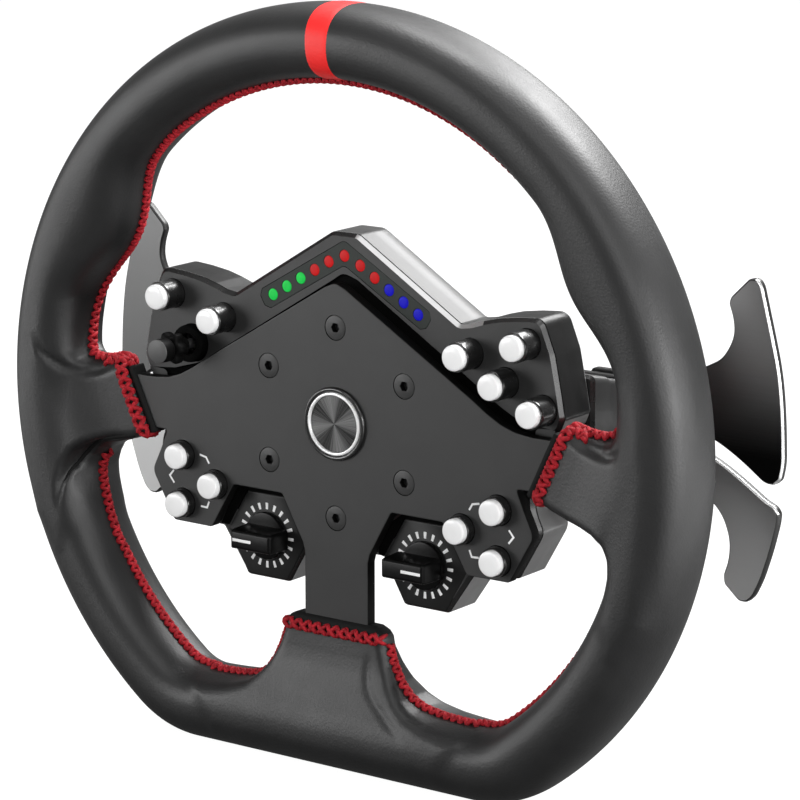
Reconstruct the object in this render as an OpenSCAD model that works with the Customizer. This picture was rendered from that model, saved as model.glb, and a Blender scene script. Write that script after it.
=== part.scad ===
/* [Rim] */
// Outer width of the round part of the rim
rim_w = 301; // [290:1:320]
// Thickness of the leather grip, seen from the front
grip_w = 27; // [25:0.5:30]
// Thickness of the leather grip, from front to back
grip_d = 34; // [30:0.5:38]
// Distance from the wheel axis to the outside of the flat bottom
rim_flat = 129.5; // [125:0.5:134]
// Distance of the rim's middle plane behind the face plate's front
rim_back = 6.25; // [5:0.25:8]
// Height of the two thumb rests over the inside of the grip
thumb_rise = 8; // [5:0.5:10]
// Angle of the thumb rests from twelve o'clock
thumb_angle = 60; // [54:1:64]
// Diameter of the steel hoop inside the grip
hoop_d = 10; // [8:0.5:12]
// Width of the coloured band at twelve o'clock
marker_w = 10.5; // [8:0.5:16]

/* [Face plate] */
// Thickness of the face plate
plate_t = 4.5; // [4:0.25:5]
// Height of the plate's peak over the wheel axis
plate_peak = 50.3; // [49:0.1:51]
// Width of a side spoke
spoke_w = 19.2; // [17:0.2:20]
// Distance of a side spoke's middle below the wheel axis
spoke_drop = 3.2; // [2.8:0.1:3.6]
// Width of the bottom spoke
stem_w = 28.6; // [26:0.2:29]
// Reach of the two button wings from the middle
wing_reach = 85.5; // [84.5:0.25:88]
// Diameter of the bolt circle
bolt_circle_d = 70; // [68:0.5:72]
// Thread diameter of the plate bolts
bolt_d = 5; // [4:0.5:6]
// Outer diameter of the centre badge
badge_d = 27; // [24:0.5:30]

/* [Housing] */
// Distance of the housing's face behind the plate's front
face_drop = 5.5; // [5.25:0.05:6]
// Depth of the front shell
front_shell_d = 8.5; // [8:0.25:9.5]
// Depth of the rear shell
rear_shell_d = 10; // [9:0.5:12]
// Wall of both shells
shell_wall = 2.4; // [2:0.1:2.6]
// Height of the light bar's peak over the wheel axis
led_peak = 68.6; // [67.5:0.1:70]
// Thickness of the circuit boards
board_t = 1.6; // [1.2:0.1:1.8]
// Thread diameter of the shell screws
screw_d = 3; // [2.5:0.1:3.2]

/* [Lights] */
// Diameter of a shift light
led_d = 4.3; // [3:0.1:4.6]
// Spacing of the shift lights along an arm
led_pitch = 7.35; // [7:0.05:7.45]
// Width of the tinted light window
window_w = 7.8; // [7:0.1:8.2]

/* [Buttons] */
// Diameter of a button cap
cap_d = 9.2; // [8:0.1:9.6]
// Wall of the barrel around a cap
barrel_wall = 0.7; // [0.5:0.05:0.9]
// Height of a cap's face over the plate's front
cap_rise = 6; // [5:0.25:7]
// How far a cap stands out of its barrel
cap_show = 2.4; // [1.8:0.1:3]
// Travel of a button
cap_travel = 1.4; // [0.8:0.1:1.6]

/* [Dials] */
// Distance across the flats of a dial's six-sided face
dial_flats = 33.2; // [32:0.1:33.4]
// Distance of a dial's axis from the middle
dial_x = 35.8; // [35.4:0.1:36.2]
// Distance of a dial's axis below the wheel axis
dial_drop = 47.9; // [47.6:0.1:48.4]
// Diameter of the skirt of a dial knob
knob_d = 18; // [16:0.5:19]
// Length of the grip bar of a dial knob
knob_l = 19.5; // [18:0.5:21]
// Height of a knob's face over the plate's front
knob_rise = 7; // [5:0.5:9]

/* [Thumb stick] */
// Height of the stick's face over the plate's front
stick_rise = 15.5; // [13:0.5:17]
// Diameter of the stick's cap
stick_cap_d = 9; // [8:0.25:9.5]
// Tilt of the stick each way, degrees
stick_tilt = 7; // [4:1:8]

/* [Paddles] */
// Distance of the paddle blades behind the plate's front
blade_back = 58.5; // [57:0.5:60]
// Thickness of a paddle blade
blade_t = 3.5; // [3:0.25:4]
// Distance of a paddle pivot from the middle
pivot_x = 58; // [56:0.5:60]
// Diameter of a paddle pivot pin
pivot_d = 4; // [3:0.25:4.5]
// Half width of the paddle housing
module_reach = 92.5; // [91:0.5:94]

/* [Hub] */
// Distance from the plate's front to the mouth of the shaft bore
mouth_back = 74; // [73:0.5:78]
// Diameter of the shaft bore
bore_d = 32; // [30:0.5:34]
// Depth of the shaft bore
bore_depth = 30; // [28:0.5:31]
// Outer diameter of the hub barrel
barrel_d = 50; // [49:0.5:51]
// Diameter of the hub's front flange
flange_d = 80; // [79:0.5:82]
// Outer diameter of the release collar
collar_d = 62; // [58:1:68]
// Length of the release collar
collar_l = 12; // [11.5:0.25:12.5]
// Diameter of a locking ball
ball_d = 8; // [7:0.25:8.25]

/* [Hidden] */
$fn = 64;
run_gap = 0.1;     // running clearance, radial
seat_gap = 0.05;   // clearance of a seated piece
free_gap = 0.3;    // clearance between pieces that only pass each other

// Rim
rim_r = rim_w / 2;
core_r = rim_r - grip_w / 2;
bend_gap = 3;
// The bottom corners turn on the steeper 3-4-5 slope that leaves a bend wider than the grip
turn = rim_flat - 0.8 * rim_r > 0.2 * (grip_w + bend_gap) ? [0.6, -0.8] : [0.8, -0.6];
rim_corner = (rim_flat + turn[1] * rim_r) / (1 + turn[1]);
corner = (rim_r - rim_corner) * turn;
marker_a = marker_w / 2 / core_r * 180 / PI;
inner_flat = rim_flat - grip_w;
bend_r = core_r - (rim_r - rim_corner);
thumb_r = 46;
thumb_c = rim_r - grip_w - thumb_rise + thumb_r;

// Leather sleeves over the spokes
sleeve_front = -2.2;
sleeve_back = plate_t + 3.5;
sleeve_top_z = -73;

// Plate
spoke_top = spoke_w / 2 - spoke_drop;
spoke_bottom = -spoke_w / 2 - spoke_drop;
bolt_head_d = bolt_d * 1.8;
bolt_head_t = 2.6;
bolt_l = 10;
hex_gap = 1.8;

// Housing
split_y = face_drop + front_shell_d;
shell_back = split_y + rear_shell_d;
pad_in = 2.2;
groove_w = 2.2;
groove_t = 1.4;
flange_t = 7;
lip_y = face_drop + shell_wall + seat_gap;
lip_d = flange_d + 5;
board_y = split_y;
boss_d = screw_d + 3;
screw_head_d = screw_d * 1.9;
screw_head_t = 1.8;
SCREWS = [[66, 34.5], [33, 34], [78.5, -30.4], [dial_x, -59]];

// Lights
led_y = 60.2;
led_slope = 30.2;
led_first = [7, 57.4];
LEDS = [for (i = [0:4]) led_first + i * led_pitch * [cos(led_slope), -sin(led_slope)]];
window_t = 1.4;
window_end = 5.4;
led_l = 2.5;
led_front = face_drop + window_t + free_gap;

// Buttons
UPPER = [[79.1, 37.9], [55.1, 31.6]];
UPPER_RIGHT = [[70.1, 23.1], [86, 15.3]];
LOWER = [[71, -21.3], [71, -39.6], [55.5, -30.4]];
barrel_in = cap_d / 2 + run_gap;
barrel_out = barrel_in + barrel_wall;
barrel_front = cap_show - cap_rise;
nut_t = 1.6;
barrel_back = face_drop + shell_wall + nut_t + 0.2;
cap_foot_t = 0.7;
nut_r = cap_d / 2 + run_gap + barrel_wall + 1.1;
switch_t = 2;
switch_w = 6;
switch_front = board_y - switch_t;

// Dials
hex_r = dial_flats / 2 / cos(30);
dial_rim = 0.8;
dial_face = face_drop - 0.2;
dial_plate_t = 1.4;
encoder_w = 12;
knob_foot = dial_face - 0.4;
knob_skirt_t = 1.6;
knob_bar_w = 8;
encoder_d = 6;

// Thumb stick
stick = [-70, 20.3];
stick_pivot = face_drop + 4.5;
stick_shaft_r = 1.8;
stick_travel = 0.7;

// Paddles
module_mid = 49.6;
module_wall = 3;
module_foot = split_y + board_t + 1.4;
module_side = 42;
module_top = 25.4;
module_low = -22;
pivot_y = blade_back - 4.2;
lug_t = 3;
arm_hub_r = pivot_d / 2 + 2.2;
arm_t = 3.6;
arm_reach = 100;
arm_gap = 0.4;
ARM_SCREWS = [76, 90];

// Hub
bore_floor = mouth_back - bore_depth;
pin_block_r = 8.5;
pin_block_t = 5;
ring_t = 1.4;
collar_back = mouth_back - 3.6;
collar_front = collar_back - collar_l;
collar_travel = 3.5;
collar_wall = 4.5;
collar_r = max(collar_d / 2, barrel_d / 2 + collar_wall);
ball_y = mouth_back - 10;

// ---- helpers ----

// Moves a piece drawn from the plate's front into the shaft bore's frame
module at_frame() {
    translate([0, -mouth_back, 0]) children();
}

// Extrudes an outline drawn in x and z from y0 backwards by t
module slab(y0, t) {
    translate([0, y0 + t, 0]) rotate([90, 0, 0]) linear_extrude(height = t) children();
}

// Round bar along y at [x, z]
module rod(p, r, y0, y1) {
    translate([p[0], y1, p[1]]) rotate([90, 0, 0]) cylinder(r = r, h = y1 - y0);
}

// Draws a piece on both sides of the middle
module both_sides() {
    children();
    mirror([1, 0, 0]) children();
}

module side(s) {
    scale_x = s == "left" ? 1 : 0;
    mirror([scale_x, 0, 0]) children();
}

// ---- rim ----

// Round-ended cross section of the grip, at radius r from the sweep axis
module grip_section(r, w, d) {
    half = (d - w) / 2;
    translate([r, half]) circle(d = w);
    if (d > w) translate([r, -half]) circle(d = w);
    if (d > w) translate([r - w / 2, -half]) square([w, d - w]);
}

// Sweeps a section round the axis at c = [x, z], from angle a0 by a
module ring_arc(c, a0, a) {
    translate([c[0], rim_back, c[1]]) rotate([90, 0, 0]) rotate([0, 0, a0])
        rotate_extrude(angle = a) children();
}

// Full ring round the axis at c, kept where it passes through the outline pts
module ring_part(c, pts) {
    intersection() {
        translate([c[0], rim_back, c[1]]) rotate([90, 0, 0]) rotate_extrude() children();
        slab(-grip_d, 3 * grip_d) translate(c) polygon(pts);
    }
}

// Closed loop of the rim: a round top, two bottom corners and the flat bar
module rim_loop(w, d) {
    out = 500 * turn;
    ring_part([0, 0], [[0, 0], out, [600, 0], [0, 600], [-600, 0], [-out[0], out[1]]])
        grip_section(core_r, w, d);
    both_sides() ring_part(corner, [[0, 0], [0, out[1]], out]) grip_section(bend_r, w, d);
    translate([-corner[0], rim_back, -rim_flat + grip_w / 2]) rotate([90, 0, 90])
        linear_extrude(height = 2 * corner[0]) rotate(90) grip_section(0, w, d);
}

// One thumb rest: a short bend of the grip that bulges inwards
module thumb_rest(s) {
    a = 90 + s * thumb_angle;
    c = thumb_c * [cos(a), sin(a)];
    ring_arc(c, a + 180 - 44, 88)
        grip_section(thumb_r - grip_w / 2, grip_w - 0.4, grip_d - 0.4);
}

// Outline of a side spoke's leather sleeve, right side
module side_sleeve_outline() {
    inner = rim_r - grip_w + 4;
    polygon([[97, spoke_top + 2.1], [104, spoke_top + 3.9], [111, spoke_top + 5.1],
        [115, spoke_top + 7.6], [118, 18], [119.5, 26], [inner * cos(14), inner * sin(14)],
        [inner, 0], [inner * cos(26), -inner * sin(26)], [108, -58],
        [111, -47], [111.5, -39], [109, -32], [105, -26.5], [100, spoke_bottom - 9.7],
        [94, spoke_bottom - 6.7], [85.6, spoke_bottom - 1.2]]);
}

// Side sleeve: its outline, thickening from the mouth to the rim
module side_sleeve() {
    back = rim_back + grip_d / 2;
    intersection() {
        slab(-grip_d, 3 * grip_d) side_sleeve_outline();
        translate([0, 0, -grip_d * 3]) linear_extrude(height = grip_d * 6) polygon([
            [60, sleeve_front], [98, sleeve_front - 0.6], [106, sleeve_front - 2.2],
            [113, sleeve_front - 5], [121, rim_back - grip_d / 2 + 3],
            [rim_r - grip_w + 6, rim_back - grip_d / 2 + 3], [rim_r - grip_w + 6, back - 4],
            [121, back - 4], [114, back - 9.5], [106, sleeve_back + 1.8],
            [98, sleeve_back + 0.4], [60, sleeve_back]]);
    }
}

// Bottom sleeve, made the same way
module stem_sleeve() {
    back = rim_back + grip_d / 2;
    intersection() {
        slab(-grip_d, 3 * grip_d) stem_sleeve_outline();
        translate([-100, 0, 0]) rotate([90, 0, 90]) linear_extrude(height = 200) polygon([
            [sleeve_front, -60], [sleeve_front - 0.6, -79], [sleeve_front - 2.2, -87],
            [sleeve_front - 5, -95], [rim_back - grip_d / 2 + 3, -102],
            [rim_back - grip_d / 2 + 3, -inner_flat - 6], [back - 4, -inner_flat - 6],
            [back - 4, -102], [back - 9.5, -95], [sleeve_back + 1.8, -87],
            [sleeve_back + 0.4, -79], [sleeve_back, -60]]);
    }
}

// Outline of the bottom spoke's sleeve
module stem_sleeve_outline() {
    w = stem_w / 2;
    polygon([[w + 4, sleeve_top_z], [w + 6.7, -76], [w + 7, -79], [w + 9.5, -85], [w + 13.2, -93],
        [w + 18, -99], [w + 24, -102], [w + 24, -inner_flat - 4], [-w - 24, -inner_flat - 4],
        [-w - 24, -102], [-w - 18, -99], [-w - 13.2, -93], [-w - 9.5, -85], [-w - 7, -79],
        [-w - 6.7, -76], [-w - 4, sleeve_top_z]]);
}

// Leather-covered foam grip with its sleeves over the three spokes
module rim_grip() {
    color("#3a3a3a") at_frame() difference() {
        union() {
            rim_loop(grip_w, grip_d);
            for (s = [-1, 1]) thumb_rest(s);
            both_sides() side_sleeve();
            stem_sleeve();
        }
        rim_loop(hoop_d + 2 * seat_gap, hoop_d + 2 * seat_gap);
        slab(0, plate_t) plate_outline();
        slab(-grip_d, 3 * grip_d) polygon([[0, 0], 2 * rim_w * [-sin(marker_a), cos(marker_a)],
            2 * rim_w * [sin(marker_a), cos(marker_a)]]);
    }
}

// Steel hoop that the spokes carry
module rim_hoop() {
    color("#6b6e72") at_frame() rim_loop(hoop_d, hoop_d);
}

// Coloured leather band at twelve o'clock
module centre_marker() {
    color("#ff3b3b") at_frame() difference() {
        ring_arc([0, 0], 90 - marker_a, 2 * marker_a)
            grip_section(core_r, grip_w + 0.4, grip_d + 0.4);
        ring_arc([0, 0], 90 - 2 * marker_a, 4 * marker_a)
            translate([core_r, 0]) circle(d = hoop_d + 2 * seat_gap);
    }
}

// ---- face plate ----

// Closes an outline given for the right half with its mirror image
function both_halves(pts) =
    concat(pts, [for (i = [len(pts) - 1:-1:0]) [-pts[i][0], pts[i][1]]]);

module plate_outline() {
    arm = tan(30.8);
    shoulder = plate_peak + 1.8;
    end = core_r - hoop_d / 2 - free_gap;
    stem_end = -inner_flat - (grip_w - hoop_d) / 2 + free_gap;
    difference() {
        polygon(both_halves([[1, plate_peak], [2.9, plate_peak - 0.3], [5.6, plate_peak - 1.5],
            [60, shoulder - 60 * arm], [66, shoulder - 66 * arm + 0.6], [72, spoke_top + 2.6],
            [78, spoke_top + 0.7], [85, spoke_top], [end, spoke_top], [end, spoke_bottom],
            [78.4, spoke_bottom], [wing_reach - 3.6, -20.5], [wing_reach - 0.4, -27],
            [wing_reach, -29.5], [wing_reach - 0.8, -32.5], [76.4, -45.8], [74.8, -46.9],
            [58, -47], [40, -47], [stem_w / 2, -52], [stem_w / 2, stem_end]]));
        both_sides() translate([dial_x, -dial_drop])
            circle(r = (dial_flats / 2 + hex_gap) / cos(30), $fn = 6);
    }
}

module bolt_places() {
    for (i = [0:5]) rotate(90 + i * 60) translate([bolt_circle_d / 2, 0]) children();
}

// Front plate with the three spokes and the two button wings
module face_plate() {
    color("#4b4b4d") at_frame() difference() {
        slab(0, plate_t) difference() {
            plate_outline();
            bolt_places() circle(d = bolt_d + 2 * run_gap);
            both_sides() for (p = LOWER) translate(p) circle(r = barrel_out + run_gap);
            circle(d = badge_d - 2);
        }
        bolt_cones(run_gap);
    }
}

// Countersunk heads, or their seats when e is the clearance
module bolt_cones(e) {
    rotate([-90, 0, 0]) bolt_places()
        cylinder(d1 = bolt_head_d + 2 * e, d2 = bolt_d + 2 * e, h = bolt_head_t);
}

// Six flush socket screws that hold the plate to the hub
module plate_bolts() {
    color("#2b2b2d") at_frame() difference() {
        union() {
            bolt_cones(0);
            slab(bolt_head_t - 0.2, bolt_l - bolt_head_t + 0.2) bolt_places() circle(d = bolt_d);
        }
        slab(-1, 2.8) bolt_places() circle(d = bolt_d * 0.68, $fn = 6);
    }
}

// Cup that plugs into the plate's centre hole
module badge_cup() {
    color("#101011") at_frame() difference() {
        union() {
            slab(-1.2, 1.2) circle(d = badge_d);
            slab(-0.2, plate_t - 0.3) circle(d = badge_d - 2 - 2 * run_gap);
        }
        slab(-2, 2.4) circle(d = badge_d - 3.8);
    }
}

module badge_ring() {
    color("#f2f2f2") at_frame() slab(-1.7, 2.1) difference() {
        circle(d = badge_d - 3.8 - 2 * run_gap);
        circle(d = badge_d - 6.2);
    }
}

module badge_disc() {
    color("#5a5a5c") at_frame() slab(-0.9, 1.3) circle(d = badge_d - 6.2 - 2 * run_gap);
}

// ---- housing ----

module dial_hex(r) {
    both_sides() translate([dial_x, -dial_drop]) circle(r = r, $fn = 6);
}

module housing_outline() {
    polygon(both_halves([[5.6, led_peak], [49, 41.9], [51, 41.2], [56, 42.4], [66, 45],
        [80, 46.8], [84, 45.8], [86.3, 42], [91, 28], [94, 14], [92.5, spoke_top + 3.1],
        [83, spoke_top + 2.1], [81.5, spoke_bottom - 1.8], [wing_reach - 3.6, -20.5],
        [wing_reach - 0.4, -27], [wing_reach, -29.5], [wing_reach - 0.8, -32.5], [76.4, -45.8],
        [74.8, -46.9], [58, -47], [30, -40], [13.5, -50]]));
    dial_hex(hex_r);
}

// Outline of the cavity in both shells
module housing_cavity() {
    offset(delta = -shell_wall) housing_outline();
}

module screw_places() {
    both_sides() for (p = SCREWS) translate(p) children();
}

// Every button position: left side, then right side
function flip(p) = [-p[0], p[1]];
BUTTONS = concat([for (p = UPPER) flip(p)], UPPER, UPPER_RIGHT,
    [for (p = LOWER) flip(p)], LOWER);

// Bent band over the shift lights, w wide, running e past the last light
module light_band(w, e) {
    h = w / 2;
    n = [sin(led_slope), cos(led_slope)];
    d = [cos(led_slope), -sin(led_slope)];
    last = LEDS[4];
    foot = led_first - h * n;
    polygon(both_halves([[1.2, led_y + h], led_first * 0.5 + [0, (led_y + h) / 2 - 0.9],
        led_first + h * n, last + h * n + (e - 2) * d, last + (h - 2) * n + e * d,
        last - (h - 2) * n + e * d, last - h * n + (e - 2) * d, foot, [1.2, led_y - h]]));
}

// Front half of the electronics case
module front_shell() {
    color("#4f4f51") at_frame() difference() {
        union() {
            difference() {
                slab(face_drop, front_shell_d) housing_outline();
                slab(face_drop + shell_wall, front_shell_d) housing_cavity();
            }
            slab(plate_t, face_drop - plate_t + shell_wall) intersection() {
                offset(delta = -pad_in) plate_outline();
                offset(delta = -pad_in) housing_outline();
            }
            slab(face_drop, front_shell_d) screw_places() circle(d = boss_d);
        }
        slab(0, split_y + 1) circle(d = flange_d + 2 * free_gap);
        slab(face_drop - 1, 1 + groove_t) intersection() {
            difference() {
                offset(delta = groove_w) plate_outline();
                offset(delta = -pad_in) plate_outline();
            }
            translate([-100, spoke_top - 3]) square([200, 60]);
        }
        slab(0, split_y) for (p = BUTTONS) translate(p) circle(r = barrel_out + run_gap);
        slab(face_drop + shell_wall, split_y) for (p = BUTTONS) translate(p) circle(r = nut_r + run_gap);
        slab(0, split_y) translate(stick) circle(r = stick_base_r + run_gap);
        slab(face_drop - 1, 1 + window_t + seat_gap) light_band(window_w + 2 * run_gap,
            window_end + run_gap);
        slab(0, split_y) light_band(led_d + 1.2, window_end - 2);
        slab(face_drop - 1, dial_face + dial_plate_t - face_drop + 1)
            dial_hex(hex_r - dial_rim);
        slab(0, split_y) both_sides() translate([dial_x, -dial_drop]) circle(d = 2 * encoder_d);
        slab(split_y - 5, 6) screw_places() circle(d = screw_d + 2 * seat_gap);
    }
}

// Rear half of the electronics case
module rear_shell() {
    color("#2a2a2c") at_frame() difference() {
        union() {
            difference() {
                slab(split_y, rear_shell_d) housing_outline();
                slab(split_y - 1, rear_shell_d - shell_wall + 1) housing_cavity();
            }
            slab(board_y + board_t, shell_back - board_y - board_t) screw_places()
                circle(d = boss_d + 1);
            slab(board_y + board_t + 0.5, shell_back - board_y - board_t - 0.5)
                module_screw_places() circle(d = boss_d);
        }
        slab(module_foot - 0.3, rear_shell_d) module_screw_places()
            circle(d = screw_d + 2 * seat_gap);
        slab(split_y, rear_shell_d + 1) circle(d = barrel_d + 2 * free_gap);
        slab(split_y, rear_shell_d + 1) screw_places() circle(d = screw_d + 2 * run_gap);
        slab(shell_back - screw_head_t, 3) screw_places() circle(d = screw_head_d + 2 * run_gap);
    }
}

// Screws that clamp the two shells on the main board
module shell_screws() {
    color("#9a9ca0") at_frame() {
        slab(shell_back - screw_head_t, screw_head_t) screw_places() circle(d = screw_head_d);
        slab(split_y - 4.5, shell_back - screw_head_t - split_y + 4.5)
            screw_places() circle(d = screw_d);
    }
}

// ---- lights ----

module light_window() {
    color([0.15, 0.15, 0.16, 0.8]) at_frame()
        slab(face_drop, window_t) light_band(window_w, window_end);
}

module light_places() {
    translate([0, led_y]) children();
    both_sides() for (p = LEDS) translate(p) children();
}

module shift_lights() {
    color("#e81f1f") at_frame() slab(led_front, led_l) light_places() circle(d = led_d);
}

module light_board() {
    color("#1f5a33") at_frame() slab(led_front + led_l, board_t)
        light_band(window_w - 0.4, window_end - 1.4);
}

// ---- electronics ----

module main_board() {
    color("#1f5a33") at_frame() slab(board_y, board_t) difference() {
        offset(delta = -shell_wall - 0.5) housing_outline();
        circle(d = barrel_d + 4);
        screw_places() circle(d = screw_d + 2 * run_gap);
    }
}

module button_switches() {
    color("#303030") at_frame() slab(switch_front, switch_t) for (p = concat(BUTTONS, [stick]))
        translate(p) square(switch_w, center = true);
}

// ---- buttons ----

// Black tubes that guide the caps
module button_barrels() {
    color("#0c0c0d") at_frame() slab(barrel_front, barrel_back - barrel_front)
        for (p = BUTTONS) translate(p) difference() {
            circle(r = barrel_out);
            circle(r = barrel_in);
        }
}

// Nuts that hold the tubes from behind
module button_nuts() {
    color("#8c8e92") at_frame() slab(face_drop + shell_wall, nut_t)
        for (p = BUTTONS) translate(p) difference() {
            circle(r = nut_r, $fn = 6);
            circle(r = barrel_out + seat_gap);
        }
}

// One cap with the foot that keeps it in its tube
module cap(p) {
    color("#f4f4f4") at_frame() {
        rod(p, cap_d / 2, -cap_rise, barrel_back + run_gap + cap_foot_t);
        rod(p, barrel_out - run_gap, barrel_back + run_gap, barrel_back + run_gap + cap_foot_t);
    }
}

module cap_top_left_outer() { cap(flip(UPPER[0])); }
module cap_top_left_inner() { cap(flip(UPPER[1])); }
module cap_top_right_outer() { cap(UPPER[0]); }
module cap_top_right_inner() { cap(UPPER[1]); }
module cap_mid_right_inner() { cap(UPPER_RIGHT[0]); }
module cap_mid_right_outer() { cap(UPPER_RIGHT[1]); }
module cap_low_left_upper() { cap(flip(LOWER[0])); }
module cap_low_left_lower() { cap(flip(LOWER[1])); }
module cap_low_left_inner() { cap(flip(LOWER[2])); }
module cap_low_right_upper() { cap(LOWER[0]); }
module cap_low_right_lower() { cap(LOWER[1]); }
module cap_low_right_inner() { cap(LOWER[2]); }

// ---- thumb stick ----

yoke_out = 5.6;
yoke_in = 4.3;
yoke_h = 2.6;
carrier_r = 3.7;
yoke_pin_r = 0.6;
stick_base_in = yoke_out + 0.5;
stick_base_r = stick_base_in + 0.9;
stick_base_top = 1.6;
stick_base_back = stick_pivot + 2.6;
stick_neck_y = -0.6;

// Fixed cup under the stick
module stick_base() {
    color("#101011") at_frame() difference() {
        union() {
            rod(stick, stick_base_r, stick_base_top, stick_base_back);
        }
        rod(stick, stick_base_in, stick_base_top + 1.2, stick_base_back + 1);
        rod(stick, stick_shaft_r + 2, stick_base_top - 1, stick_base_back);
        translate([stick[0] - stick_base_r - 1, stick_pivot, stick[1]]) rotate([0, 90, 0])
            cylinder(r = yoke_pin_r + run_gap / 2, h = 2 * stick_base_r + 2);
    }
}

// Ring that tilts up and down in the cup
module stick_yoke() {
    color("#7d8084") at_frame() difference() {
        union() {
            rod(stick, yoke_out, stick_pivot - yoke_h / 2, stick_pivot + yoke_h / 2);
            translate([stick[0] - stick_base_r, stick_pivot, stick[1]]) rotate([0, 90, 0])
                cylinder(r = yoke_pin_r, h = 2 * stick_base_r);
        }
        rod(stick, yoke_in, stick_pivot - yoke_h, stick_pivot + yoke_h);
        translate([stick[0], stick_pivot, stick[1] - yoke_out - 1])
            cylinder(r = yoke_pin_r + run_gap / 2, h = 2 * yoke_out + 2);
    }
}

// Block that tilts left and right in the ring
module stick_carrier() {
    color("#9a9ca0") at_frame() difference() {
        union() {
            rod(stick, carrier_r, stick_pivot - yoke_h / 2, stick_pivot + yoke_h / 2);
            translate([stick[0], stick_pivot, stick[1] - yoke_out + 0.1])
                cylinder(r = yoke_pin_r, h = 2 * yoke_out - 0.2);
        }
        rod(stick, stick_shaft_r + run_gap / 2, stick_pivot - yoke_h, stick_pivot + yoke_h);
    }
}

// Shaft that slides in the block when the stick is pressed
module stick_shaft() {
    color("#b5b7ba") at_frame()
        rod(stick, stick_shaft_r, 3 - stick_rise, switch_front - stick_travel - 0.4);
}

// Turning knob on the shaft
module stick_knob() {
    c = stick_cap_d / 2;
    color("#18181a") at_frame() difference() {
        translate([stick[0], stick_neck_y, stick[1]]) rotate([90, 0, 0]) union() {
            cylinder(r = 3.6, h = 2.2);
            translate([0, 0, 2]) cylinder(r = 4.6, h = 2.6);
            for (i = [0:5]) rotate(i * 60) translate([4, 0, 2.1]) cylinder(r = 1.8, h = 2.4);
            translate([0, 0, 4]) cylinder(r = 3.4, h = 5.4);
            translate([0, 0, 9]) cylinder(r = c, h = stick_rise + stick_neck_y - 9);
        }
        rod(stick, stick_shaft_r + run_gap / 2, 3 - stick_rise - run_gap, stick_neck_y + 1);
    }
}

// ---- dials ----

// Six-sided scale plates
module dial_plates() {
    color("#4a4a4c") at_frame() slab(dial_face, dial_plate_t) difference() {
        dial_hex(hex_r - dial_rim - seat_gap);
        both_sides() translate([dial_x, -dial_drop]) circle(d = encoder_d + 2.4);
    }
}

// Rotary encoders under the dials
module dial_encoders() {
    color("#5d6166") at_frame() both_sides() translate([dial_x, 0, -dial_drop]) difference() {
        union() {
            slab(dial_face + dial_plate_t + free_gap, board_y - dial_face - dial_plate_t - free_gap)
                intersection() {
                    square(encoder_w, center = true);
                    circle(d = 2 * encoder_d - 2 * run_gap);
                }
            slab(knob_foot + 0.6, 3) circle(d = encoder_d + 1.6);
        }
        slab(knob_foot, board_y - knob_foot - 1) circle(d = encoder_d + run_gap);
    }
}

// Pointer knob with its spindle
module knob() {
    color("#161618") at_frame() translate([dial_x, 0, -dial_drop]) {
        slab(knob_foot - knob_skirt_t, knob_skirt_t) circle(d = knob_d);
        slab(-knob_rise, knob_foot + knob_rise - knob_skirt_t) translate([-1.5, 0]) intersection() {
            square([knob_l, knob_bar_w], center = true);
            circle(d = knob_l + 1);
        }
        slab(knob_foot - 1, board_y - 1.4 - knob_foot) circle(d = encoder_d);
    }
}

module dial_knob_left() { side("left") knob(); }
module dial_knob_right() { knob(); }

// ---- paddles ----

// Hollow block behind the case that carries all four paddles
module paddle_housing() {
    mid = pivot_x + arm_hub_r + 1;
    h = module_top - module_low;
    w = module_wall;
    color("#1c1c1e") at_frame() difference() {
        union() {
            difference() {
                union() {
                    slab(shell_back, module_side - shell_back)
                        translate([-module_reach, module_low]) square([2 * module_reach, h]);
                    slab(module_side - 1, module_mid - module_side + 1)
                        translate([-mid, module_low]) square([2 * mid, h]);
                }
                slab(shell_back - 1, module_side - w - shell_back + 1)
                    translate([w - module_reach, module_low + w])
                        square([2 * (module_reach - w), h - 2 * w]);
                slab(module_side - w - 1, module_mid - module_side + 1)
                    translate([w - mid, module_low + w]) square([2 * (mid - w), h - 2 * w]);
            }
            slab(shell_back, module_mid - shell_back) {
                circle(d = barrel_d + 2 * free_gap + 2 * w);
                module_screw_places() circle(d = boss_d + 3);
            }
            for (z = LUGS) both_sides() translate([pivot_x, 0, z]) {
                translate([-arm_hub_r, module_mid - 1, 0])
                    cube([2 * arm_hub_r, pivot_y - module_mid + 1, lug_t]);
                translate([0, pivot_y, 0]) cylinder(r = arm_hub_r, h = lug_t);
            }
        }
        slab(shell_back - 1, module_mid) circle(d = barrel_d + 2 * free_gap);
        slab(shell_back - 1, module_mid) module_screw_places() circle(d = screw_d + 2 * run_gap);
        slab(module_mid - screw_head_t - 1, screw_head_t + 2) module_screw_places()
            circle(d = screw_head_d + 2 * run_gap);
        both_sides() translate([pivot_x, pivot_y, module_low - 1])
            cylinder(d = pivot_d + 2 * seat_gap, h = h + 2);
    }
}

module module_screw_places() {
    both_sides() for (z = [module_top - 7, module_low + 7]) translate([40, z]) children();
}

// Screws that hold the paddle block on the case
module module_screws() {
    color("#9a9ca0") at_frame() {
        slab(module_mid - screw_head_t - 1, screw_head_t) module_screw_places()
            circle(d = screw_head_d);
        slab(module_foot, module_mid - screw_head_t - 1 - module_foot) module_screw_places()
            circle(d = screw_d);
    }
}

arm_mid = (module_top + module_low) / 2;
LUGS = [module_low, arm_mid - lug_t / 2, module_top - lug_t];

// Upright pins that the paddle arms turn on
module paddle_pins() {
    color("#b9bbbe") at_frame() both_sides() translate([pivot_x, pivot_y, module_low])
        cylinder(d = pivot_d, h = module_top - module_low);
}

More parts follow.
